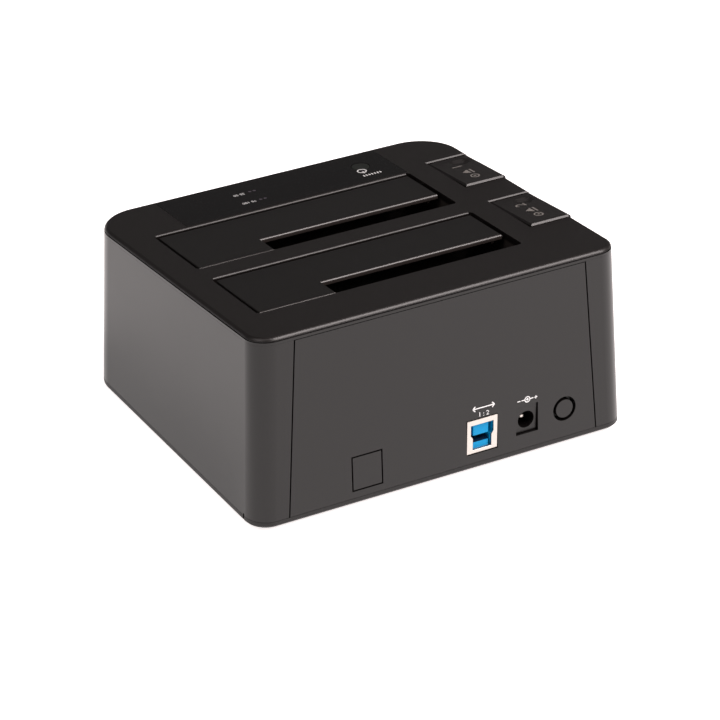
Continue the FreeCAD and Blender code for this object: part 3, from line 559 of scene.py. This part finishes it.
def middle_of(places):
    """The middle of the box round some places."""
    low, high = ends_of(places)
    return (low + high) / 2


# ---------------------------------------------------------------- finished copies of the mouldings

def closed_copy(node, name):
    """The node's own mesh with its triangles merged into whole faces."""
    piece = bpy.data.objects.new(name, frame["nodes"][node].data.copy())
    bpy.context.scene.collection.objects.link(piece)
    shape = bmesh.new()
    shape.from_mesh(piece.data)
    bmesh.ops.remove_doubles(shape, verts=shape.verts, dist=weld)
    bmesh.ops.dissolve_limit(shape, angle_limit=radians(0.5), verts=shape.verts, edges=shape.edges)
    shape.to_mesh(piece.data)
    shape.free()
    pick(piece)
    bpy.ops.mesh.customdata_custom_splitnormals_clear()
    return piece


def finished_copy(node, rounding=0.0, smooth=35.0, shape=None):
    """A carried-over moulding with its last small forms, soft edges and clean shading."""
    piece = closed_copy(node, node + "_finished")
    if shape:
        shape(piece)
    if rounding:
        round_edges(piece, rounding)
    shade(piece, smooth)
    apply_modifier(piece, "WEIGHTED_NORMAL", keep_sharp=True, weight=90)
    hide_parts(node)
    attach(piece, frame["nodes"][node]["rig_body"])
    return piece


def depth_below_deck(place):
    """How far a place lies under the plane of the deck."""
    return deck_level - place.dot(deck_up)


skin_side = 66.0 * mm
skin_rear = 58.0 * mm
skin_front = -60.5 * mm
groove_top = 1.15 * mm
groove_bottom = 1.65 * mm
groove_cut = 0.45 * mm
shell_top = 2.9 * mm
raised_shell_top = 2.64 * mm


def on_outer_skin(place):
    """Outside the bays and the ribs: the skin that shows round the case."""
    return abs(place.x) > skin_side or not skin_front < place.y < skin_rear


def groove_cover(piece):
    """The shadow line under the cover's lip, and the band under it in the colour of the shell."""
    shape = bmesh.new()
    shape.from_mesh(piece.data)
    for level in (groove_top, groove_bottom):
        everything = shape.verts[:] + shape.edges[:] + shape.faces[:]
        bmesh.ops.bisect_plane(shape, geom=everything, plane_co=deck_up * (deck_level - level),
                               plane_no=deck_up, dist=0.01 * mm)
    shape.to_mesh(piece.data)
    shape.free()
    piece.data.materials.append(shell_plastic)
    pick(piece)
    bpy.ops.object.mode_set(mode="EDIT")
    select_faces(piece, lambda face: abs(face.normal.dot(deck_up)) < 0.5
                 and on_outer_skin(face.calc_center_median())
                 and groove_top < depth_below_deck(face.calc_center_median()) < groove_bottom)
    bpy.ops.mesh.extrude_region_shrink_fatten(TRANSFORM_OT_shrink_fatten={"value": -groove_cut})
    select_faces(piece, lambda face: on_outer_skin(face.calc_center_median())
                 and depth_below_deck(face.calc_center_median()) > groove_bottom - 0.01 * mm)
    piece.active_material_index = len(piece.data.materials) - 1
    bpy.ops.object.material_slot_assign()
    bpy.ops.object.mode_set(mode="OBJECT")


def close_seam(piece):
    """The shell meets the cover's band, so that only the groove shows."""
    for vertex in piece.data.vertices:
        depth = depth_below_deck(vertex.co)
        if on_outer_skin(vertex.co) and abs(depth - shell_top) < 0.1 * mm:
            vertex.co += deck_up * (depth - raised_shell_top)


def shrink(piece, share):
    """Draw a fitting in from the edges of its opening in the rear panel."""
    middle = middle_of([vertex.co for vertex in piece.data.vertices])
    scaling = Matrix.Diagonal((share, 1.0, share, 1.0))
    piece.data.transform(Matrix.Translation(middle) @ scaling @ Matrix.Translation(-middle))


def polish_and_highlight_edge(piece):
    """The rounded edges of a door that face the light: shinier from rubbing, and lighter in colour
    as a painted highlight.
    """
    piece.data.materials.append(rubbed_highlight_plastic)
    # the faces that look toward the light get the painted highlight colour
    for face in piece.data.polygons:
        if 0.15 < face.normal.y and 0.0 < face.normal.z < 0.97:
            face.material_index = len(piece.data.materials) - 1


tongue_half_width = 3.6 * mm
tongue_split = -1.5 * mm
upper_tongue_lift = 0.55 * mm
lower_tongue_drop = 0.35 * mm
throat_depth = 3.0 * mm


def part_tongues_and_shade_throat(piece):
    """The dark gap between the port's two contact tongues, and painted shade down in its throat and
    on the lower tongue's top.
    """
    middle = middle_of([corner("data_port_shell", 0), corner("data_port_shell", 1)])
    tongues = [vertex for vertex in piece.data.vertices
               if abs(vertex.co.x - middle.x) < tongue_half_width]
    levels = {round(vertex.co.z - middle.z, 5) for vertex in tongues}
    under_upper = max(level for level in levels if tongue_split < level < 0.9 * mm)
    over_lower = min(level for level in levels if -3.5 * mm < level < tongue_split)
    for vertex in tongues:
        level = vertex.co.z - middle.z
        if abs(level - under_upper) < 0.02 * mm:
            vertex.co.z += upper_tongue_lift
        if abs(level - over_lower) < 0.02 * mm:
            vertex.co.z -= lower_tongue_drop
    throat = max(vertex.co.y for vertex in piece.data.vertices) - throat_depth
    # painted shade, a darker blue, on the deep faces of the throat and on the lower tongue's top
    piece.data.materials.append(painted_throat_shade)
    for face in piece.data.polygons:
        on_lower_tongue = face.normal.z > 0.9 and face.center.z - middle.z < -2.0 * mm
        if on_lower_tongue or face.normal.y > 0.9 and face.center.y < throat:
            face.material_index = len(piece.data.materials) - 1


def lift_contacts(piece):
    """The contacts follow the upper tongue up."""
    settle(piece, Matrix.Translation((0.0, 0.0, upper_tongue_lift)))


panel_edge = 54.0 * mm
seam_opening = 0.3 * mm


def open_side_seams(piece):
    """Draw the panel's two upright edges in, so that their seams show as dark lines."""
    for vertex in piece.data.vertices:
        if abs(vertex.co.x) > panel_edge:
            vertex.co.x -= seam_opening if vertex.co.x > 0.0 else -seam_opening


for node in ("base_plate", "indicator_strip",
             "eject_key_front", "eject_key_rear", "bay_well_front", "bay_well_rear"):
    finished_copy(node)
finished_copy("rear_panel", shape=open_side_seams)
finished_copy("top_cover", shape=groove_cover)
finished_copy("main_shell", shape=close_seam)
finished_copy("port_blank", shape=lambda piece: shrink(piece, 0.935))
for node in ("bay_door_front", "bay_door_rear"):
    finished_copy(node, smooth=40.0, shape=polish_and_highlight_edge)
finished_copy("power_button", 0.25 * mm)
finished_copy("rear_button", 0.2 * mm, shape=lambda piece: shrink(piece, 0.87))
finished_copy("data_port_insert", 0.35 * mm, shape=part_tongues_and_shade_throat)
finished_copy("data_port_contacts", 0.04 * mm, shape=lift_contacts)
for node in ("data_port_shell", "power_jack", "drive_socket_front", "drive_socket_rear"):
    finished_copy(node, 0.12 * mm)


# ---------------------------------------------------------------- screws

screw_head_radius = 2.4 * mm
screw_head_height = 1.5 * mm
screw_shank_radius = 1.3 * mm
screw_length = 7.5 * mm
screw_ridges = 7
ridge_swell = 0.86
recess_wing = (0.62 * mm, 2.9 * mm, 1.6 * mm)


def model_screw():
    """A pan-head screw standing on its head, with a cross recess and a ridged shank."""
    start_fresh()
    bpy.ops.mesh.primitive_cylinder_add(vertices=32, radius=screw_head_radius,
                                        depth=screw_head_height,
                                        location=(0.0, 0.0, screw_head_height / 2))
    screw = bpy.context.object
    bpy.ops.object.mode_set(mode="EDIT")
    select_faces(screw, lambda face: face.normal.z > 0.9)
    bpy.ops.mesh.inset(thickness=screw_head_radius - screw_shank_radius)
    step = (screw_length - screw_head_height) / screw_ridges
    for _ in range(screw_ridges):
        for swell in (ridge_swell, 1 / ridge_swell):
            bpy.ops.mesh.extrude_region_move(TRANSFORM_OT_translate={"value": (0.0, 0.0, step / 2)})
            bpy.ops.transform.resize(value=(swell, swell, 1.0))
    bpy.ops.object.mode_set(mode="OBJECT")
    for turn in (0.0, radians(90.0)):
        start_fresh()
        bpy.ops.mesh.primitive_cube_add(size=1.0, rotation=(0.0, 0.0, turn))
        cutter = bpy.context.object
        cutter.scale = recess_wing
        apply_modifier(screw, "BOOLEAN", object=cutter, operation="DIFFERENCE")
        scrap(cutter)
    round_edges(screw, 0.12 * mm, 2, 60.0)
    return screw


screw_pattern = model_screw()
screw_groups = {
    "case_screws": upwards,
    "board_screws": -upwards,
    "well_screws": deck_up,
    "light_board_screws": deck_up,
}
for node, shank_way in screw_groups.items():
    screws = []
    for places in solids_of(node):
        head = middle_of(places) - shank_way * screw_length / 2
        screw = copy_of(screw_pattern)
        settle(screw, stand_at(head, user_right, shank_way))
        screws.append(screw)
    finish_piece(join(screws), node + "_finished", zinc, "housing", replaced=(node,))
scrap(screw_pattern)


# ---------------------------------------------------------------- feet

def model_foot(radius, height):
    """A round rubber foot with a soft rim and a shallow ring in its sole."""
    start_fresh()
    bpy.ops.mesh.primitive_cylinder_add(vertices=48, radius=radius, depth=height,
                                        location=(0.0, 0.0, height / 2))
    foot = bpy.context.object
    bpy.ops.object.mode_set(mode="EDIT")
    select_faces(foot, lambda face: face.normal.z < -0.9)
    bpy.ops.mesh.inset(thickness=0.28 * radius)
    bpy.ops.mesh.inset(thickness=0.10 * radius)
    ring_outer = 0.73 * radius
    ring_inner = 0.61 * radius
    select_faces(foot, lambda face: face.normal.z < -0.9
                 and ring_inner < face.calc_center_median().xy.length < ring_outer)
    bpy.ops.mesh.extrude_region_move(TRANSFORM_OT_translate={"value": (0.0, 0.0, 0.25 * mm)})
    bpy.ops.object.mode_set(mode="OBJECT")
    round_edges(foot, 0.2 * mm, 3, 50.0)
    return foot


feet_places = solids_of("rubber_feet")
foot_low, foot_high = ends_of(feet_places[0])
foot_pattern = model_foot((foot_high.x - foot_low.x) / 2, foot_high.z - foot_low.z)
feet = []
for places in feet_places:
    middle = middle_of(places)
    foot = copy_of(foot_pattern)
    settle(foot, Matrix.Translation((middle.x, middle.y, foot_low.z)))
    feet.append(foot)
finish_piece(join(feet), "rubber_feet_finished", rubber, "housing", replaced=("rubber_feet",))
scrap(foot_pattern)


# ---------------------------------------------------------------- jack pin

def model_jack_pin():
    """A turned pin with a rounded tip, pointing out of the rear panel."""
    low, high = Vector(corner("jack_pin", 0)), Vector(corner("jack_pin", 1))
    radius = (high.x - low.x) / 2
    length = high.y - low.y
    start_fresh()
    bpy.ops.mesh.primitive_cylinder_add(vertices=32, radius=radius, depth=length)
    pin = bpy.context.object
    bpy.ops.object.mode_set(mode="EDIT")
    select_faces(pin, lambda face: face.normal.z > 0.9)
    bpy.ops.mesh.bevel(offset=0.7 * radius, segments=5, affect="EDGES")
    bpy.ops.object.mode_set(mode="OBJECT")
    finish_piece(pin, "jack_pin_finished", plated, "housing",
                 stand_at((low + high) / 2, user_right, backwards), 60.0, ("jack_pin",))


model_jack_pin()


# ---------------------------------------------------------------- door springs

spring_wire_radius = 0.2 * mm
spring_turns = 5


def model_door_spring(length, width):
    """A coil of round wire that stands on the origin, with its ends closed."""
    reach = width / 2 - spring_wire_radius
    start_fresh()
    bpy.ops.mesh.primitive_circle_add(vertices=10, radius=spring_wire_radius,
                                      location=(reach, 0.0, 0.0),
                                      rotation=(radians(90.0), 0.0, 0.0))
    coil = bpy.context.object
    bpy.ops.object.transform_apply(location=True, rotation=True, scale=True)
    pitch = (length - 2 * spring_wire_radius) / spring_turns
    apply_modifier(coil, "SCREW", axis="Z", angle=radians(360.0), screw_offset=pitch,
                   iterations=spring_turns, steps=28, render_steps=28, use_merge_vertices=False)
    bpy.ops.object.mode_set(mode="EDIT")
    bpy.ops.mesh.select_mode(type="EDGE")
    bpy.ops.mesh.select_all(action="DESELECT")
    bpy.ops.mesh.select_non_manifold()
    bpy.ops.mesh.edge_face_add()
    bpy.ops.mesh.select_all(action="SELECT")
    bpy.ops.mesh.normals_make_consistent(inside=False)
    bpy.ops.object.mode_set(mode="OBJECT")
    return coil


spring_low, spring_high = corner("door_spring_front", 0), corner("door_spring_front", 1)
spring_pattern = model_door_spring(spring_high[0] - spring_low[0], spring_high[2] - spring_low[2])
for bay in ("front", "rear"):
    node = "door_spring_" + bay
    low, high = Vector(corner(node, 0)), Vector(corner(node, 1))
    seat = Vector((low.x + spring_wire_radius, (low.y + high.y) / 2, (low.z + high.z) / 2))
    finish_piece(copy_of(spring_pattern), node + "_finished", steel, "door_" + bay,
                 stand_at(seat, upwards, user_right), 60.0, (node,))
scrap(spring_pattern)


# ---------------------------------------------------------------- printed marks

ink_thickness = 0.02 * mm


def numerals(text, height):
    """Plain numerals, centred on the origin, as flat ink."""
    start_fresh()
    bpy.ops.object.text_add()
    piece = bpy.context.object
    piece.data.body = text
    piece.data.size = 1.37 * height
    piece.data.align_x = "CENTER"
    piece.data.align_y = "CENTER"
    piece.data.extrude = ink_thickness / 2
    bpy.ops.object.convert(target="MESH")
    return bpy.context.object


def stroke(x0, y0, x1, y1, width):
    """A straight stroke of ink between two points."""
    start, end = Vector((x0, y0, 0.0)), Vector((x1, y1, 0.0))
    run = end - start
    start_fresh()
    bpy.ops.mesh.primitive_plane_add(size=1.0)
    piece = bpy.context.object
    bpy.ops.object.mode_set(mode="EDIT")
    bpy.ops.mesh.extrude_region_move(TRANSFORM_OT_translate={"value": (0.0, 0.0, 1.0)})
    bpy.ops.object.mode_set(mode="OBJECT")
    stretch = Matrix.Diagonal((run.length, width, ink_thickness, 1.0))
    settle(piece, stand_at((start + end) / 2, run, upwards) @ stretch)
    return piece


def ring(x, y, radius, width, sides=40):
    """A round line of ink."""
    start_fresh()
    bpy.ops.mesh.primitive_circle_add(vertices=sides, radius=radius + width / 2, fill_type="NGON",
                                      location=(x, y, 0.0))
    piece = bpy.context.object
    bpy.ops.object.transform_apply(location=True, rotation=True, scale=True)
    bpy.ops.object.mode_set(mode="EDIT")
    bpy.ops.mesh.select_all(action="SELECT")
    bpy.ops.mesh.inset(thickness=width)
    bpy.ops.mesh.delete(type="ONLY_FACE")
    bpy.ops.mesh.select_all(action="SELECT")
    bpy.ops.mesh.extrude_region_move(TRANSFORM_OT_translate={"value": (0.0, 0.0, ink_thickness)})
    bpy.ops.object.mode_set(mode="OBJECT")
    return piece


def dot(x, y, radius, sides=24):
    """A filled round of ink, or with few sides a filled triangle or square."""
    start_fresh()
    bpy.ops.mesh.primitive_circle_add(vertices=sides, radius=radius, fill_type="NGON",
                                      location=(x, y, 0.0))
    piece = bpy.context.object
    bpy.ops.object.transform_apply(location=True, rotation=True, scale=True)
    bpy.ops.object.mode_set(mode="EDIT")
    bpy.ops.mesh.select_all(action="SELECT")
    bpy.ops.mesh.extrude_region_move(TRANSFORM_OT_translate={"value": (0.0, 0.0, ink_thickness)})
    bpy.ops.object.mode_set(mode="OBJECT")
    return piece


def print_mark(name, parts, material, body, placing):
    """Join the parts of a mark, and print it where it belongs."""
    piece = join(parts) if len(parts) > 1 else parts[0]
    return finish_piece(piece, name, material, body, placing, 20.0)


def power_symbol(radius, line):
    """A ring with a stroke through its top."""
    return [ring(0.0, 0.0, radius, line), stroke(0.0, 0.5 * mm, 0.0, 2.2 * mm, line)]


def tick_row(count, pitch, height, width):
    """A row of plain ticks, as on a scale."""
    first = -pitch * (count - 1) / 2
    return [stroke(first + pitch * step, -height / 2, first + pitch * step, height / 2, width)
            for step in range(count)]


def eject_symbol(size):
    """A triangle over a bar."""
    triangle = dot(0.0, 0.0, 0.58 * size, 3)
    flatten = Matrix.Diagonal((1.0, 0.8, 1.0, 1.0))
    triangle.data.transform(Matrix.Translation((0.0, 0.1 * size, 0.0)) @ flatten)
    bar_y = -0.42 * size
    return [triangle, stroke(-0.5 * size, bar_y, 0.5 * size, bar_y, 0.17 * size)]


def disc_symbol(radius, line):
    """A ring round a dot."""
    return [ring(0.0, 0.0, radius, line), dot(0.0, 0.0, radius / 3)]


def two_way_arrow(length, head, line):
    half = length / 2
    parts = [stroke(-half, 0.0, half, 0.0, line)]
    for side in (-1, 1):
        for slant in (-1, 1):
            parts.append(stroke(side * half, 0.0, side * (half - head), slant * head, line))
    return parts


def polarity_symbol(line):
    """A minus, a ring round a dot, and a plus, joined by lines."""
    return [
        ring(0.0, 0.0, 1.0 * mm, line),
        dot(0.0, 0.0, 0.45 * mm),
        stroke(-2.4 * mm, 0.0, -1.1 * mm, 0.0, line),
        stroke(1.1 * mm, 0.0, 2.4 * mm, 0.0, line),
        stroke(-4.0 * mm, 0.0, -2.8 * mm, 0.0, line),
        stroke(2.8 * mm, 0.0, 4.0 * mm, 0.0, line),
        stroke(3.4 * mm, -0.6 * mm, 3.4 * mm, 0.6 * mm, line),
    ]


def widest_face(node, way, least_height=0.0):
    """The largest face of a node among those that look one way and lie high enough."""
    faces = [face for face in frame["nodes"][node].data.polygons
             if face.normal.dot(way) > 0.9 and face.center.z > least_height]
    return max(faces, key=lambda face: face.area)


def deck_placing(x, y):
    return stand_at(on_deck(x, y, ink_thickness / 2), user_right, deck_up)


def key_placing(bay, x, y):
    """On a key's leaning top, with the marks' own top toward the middle of the deck."""
    flat = widest_face("eject_key_" + bay, upwards, 50.0 * mm)
    rise = flat.normal.x * (x - flat.center.x) + flat.normal.y * (y - flat.center.y)
    place = Vector((x, y, flat.center.z - rise / flat.normal.z))
    return stand_at(place + flat.normal * ink_thickness / 2, -backwards, flat.normal)


def panel_placing(x, z):
    """On the slanted rear panel, upright to someone who faces the sockets."""
    flat = widest_face("rear_panel", backwards)
    y = flat.center.y - flat.normal.z * (z - flat.center.z) / flat.normal.y
    return stand_at(Vector((x, y, z)) + flat.normal * ink_thickness / 2, -user_right, flat.normal)


# ---------------------------------------------------------------- marks in the strip

numerals_from_lights = 4.1 * mm
lights_low, lights_high = corner("light_pipes", 0), corner("light_pipes", 1)
light_numerals = (
    ("25 50", lights_high[0] + numerals_from_lights, lights_low[1] + 0.86 * mm),
    ("75 100", lights_high[0] + numerals_from_lights + 0.1 * mm, lights_high[1] - 0.9 * mm),
)
for row, (text, x, y) in enumerate(light_numerals):
    print_mark(f"light_numerals_{row + 1}", [numerals(text, 1.45 * mm)], white_ink, "housing",
               deck_placing(x, y))
button_middle = middle_of([corner("power_button", 0), corner("power_button", 1)])
print_mark("power_symbol", power_symbol(1.6 * mm, 0.42 * mm), white_ink, "housing",
           deck_placing(button_middle.x + 1.7 * mm, button_middle.y + 3.98 * mm))
print_mark("power_ticks", tick_row(7, 1.12 * mm, 1.25 * mm, 0.55 * mm), white_ink, "housing",
           deck_placing(button_middle.x - 0.1 * mm, button_middle.y + 8.38 * mm))


# ---------------------------------------------------------------- marks on the keys

numeral_from_edge = 7.2 * mm
symbols_from_edge = 7.5 * mm
symbol_spacing = 5.0 * mm
key_marks = {"front": ("1", -4.25 * mm, 2.25 * mm), "rear": ("2", -4.55 * mm, 1.55 * mm)}
eject_pattern = join(eject_symbol(3.9 * mm))
disc_pattern = join(disc_symbol(1.5 * mm, 0.55 * mm))
for bay, (text, numeral_shift, eject_shift) in key_marks.items():
    body = "key_" + bay
    low, high = corner("eject_key_" + bay, 0), corner("eject_key_" + bay, 1)
    middle_y = (low[1] + high[1]) / 2
    eject_y = middle_y + eject_shift
    print_mark(body + "_numeral", [numerals(text, 4.2 * mm)], grey_ink, body,
               key_placing(bay, high[0] - numeral_from_edge, middle_y + numeral_shift))
    print_mark(body + "_eject_symbol", [copy_of(eject_pattern)], grey_ink, body,
               key_placing(bay, high[0] - symbols_from_edge, eject_y))
    print_mark(body + "_disc_symbol", [copy_of(disc_pattern)], grey_ink, body,
               key_placing(bay, high[0] - symbols_from_edge, eject_y + symbol_spacing))
scrap(eject_pattern, disc_pattern)


# ---------------------------------------------------------------- marks on the rear panel

port_middle = middle_of([corner("data_port_shell", 0), corner("data_port_shell", 1)])
port_top = corner("data_port_shell", 1)[2]
jack_middle = middle_of([corner("power_jack", 0), corner("power_jack", 1)])
jack_top = corner("power_jack", 1)[2]
print_mark("data_arrow", two_way_arrow(8.6 * mm, 0.95 * mm, 0.42 * mm), white_ink, "housing",
           panel_placing(port_middle.x - 0.7 * mm, port_top + 4.0 * mm))
print_mark("data_numerals", [numerals("1 : 2", 1.8 * mm)], white_ink, "housing",
           panel_placing(port_middle.x - 0.7 * mm, port_top + 1.45 * mm))
print_mark("jack_polarity", polarity_symbol(0.36 * mm), white_ink, "housing",
           panel_placing(jack_middle.x - 0.2 * mm, jack_top + 2.4 * mm))


# ---------------------------------------------------------------- light windows in the strip

window_pattern = dot(0.0, 0.0, 0.62 * mm)
for number, places in enumerate(solids_of("light_pipes")):
    middle = middle_of(places)
    place = middle + deck_up * (depth_below_deck(middle) - ink_thickness / 2)
    print_mark(f"light_window_{number + 1}", [copy_of(window_pattern)], window_ink, "housing",
               stand_at(place, user_right, deck_up))
scrap(window_pattern)


# ---------------------------------------------------------------- camera, floor and light

camera_azimuth = 150.544
camera_elevation = 28.838
camera_distance = 1214.5 * mm
camera_roll = -0.176
camera_target = Vector((-13.97, -20.02, 2.69)) * mm
camera_lens = 167.96
lamp_tint = (1.0, 0.915, 0.9)
lamp_distance = 1.6
lamp_target = Vector((0.0, 0.0, 30.0)) * mm
soft_boxes = (
    ("main_box", 219.0, 50.0, 0.95, 34.0),
    ("left_box", 105.0, 50.0, 0.9, 6.0),
    ("far_box", 318.0, 50.0, 0.6, 0.7),
)


def way_to(azimuth, elevation):
    """The way from the object to something that stands round it, in degrees."""
    around, above = radians(azimuth), radians(elevation)
    return Vector((sin(around) * cos(above), -cos(around) * cos(above), sin(above)))


def place_looking(name, data, target, back, distance):
    """Something that stands back from a target and looks at it."""
    piece = bpy.data.objects.new(name, data)
    bpy.context.scene.collection.objects.link(piece)
    piece.location = target + back * distance
    piece.rotation_mode = "QUATERNION"
    piece.rotation_quaternion = (-back).to_track_quat("-Z", "Y")
    return piece


def add_camera():
    data = bpy.data.cameras.new("camera")
    data.lens = camera_lens
    data.sensor_width = 36.0
    data.clip_start = 0.05
    data.clip_end = 50.0
    back = way_to(camera_azimuth, camera_elevation)
    camera = place_looking("camera", data, camera_target, back, camera_distance)
    roll = Quaternion((0.0, 0.0, 1.0), radians(camera_roll))
    camera.rotation_quaternion = camera.rotation_quaternion @ roll
    bpy.context.scene.camera = camera


def add_floor():
    """A wide sheet of pale paper, just under the object."""
    start_fresh()
    bpy.ops.mesh.primitive_plane_add(size=8.0, location=(0.0, 0.0, -0.2 * mm))
    floor = bpy.context.object
    floor.name = "floor"
    material, tree, surface = new_material("floor_paper")
    surface.inputs["Base Color"].default_value = (0.9, 0.9, 0.9, 1.0)
    surface.inputs["Roughness"].default_value = 0.9
    surface.inputs["Specular IOR Level"].default_value = 0.1
    surface.inputs["Emission Color"].default_value = (1.0, 0.95, 0.94, 1.0)
    surface.inputs["Emission Strength"].default_value = 0.9
    floor.data.materials.append(material)


def add_soft_box(name, azimuth, elevation, side, power):
    """A square soft box that looks at the middle of the object."""
    data = bpy.data.lights.new(name, "AREA")
    data.shape = "RECTANGLE"
    data.size = side
    data.size_y = side
    data.energy = power
    data.color = lamp_tint
    place_looking(name, data, lamp_target, way_to(azimuth, elevation), lamp_distance)


def add_world(strength):
    """A faint even light from all round."""
    world = bpy.data.worlds.new("studio")
    bpy.context.scene.world = world
    world.use_nodes = True
    background = world.node_tree.nodes["Background"]
    background.inputs["Color"].default_value = (1.0, 1.0, 1.0, 1.0)
    background.inputs["Strength"].default_value = strength


add_camera()
add_floor()
add_world(0.1)
for soft_box in soft_boxes:
    add_soft_box(*soft_box)
bpy.context.scene.view_settings.view_transform = "Standard"
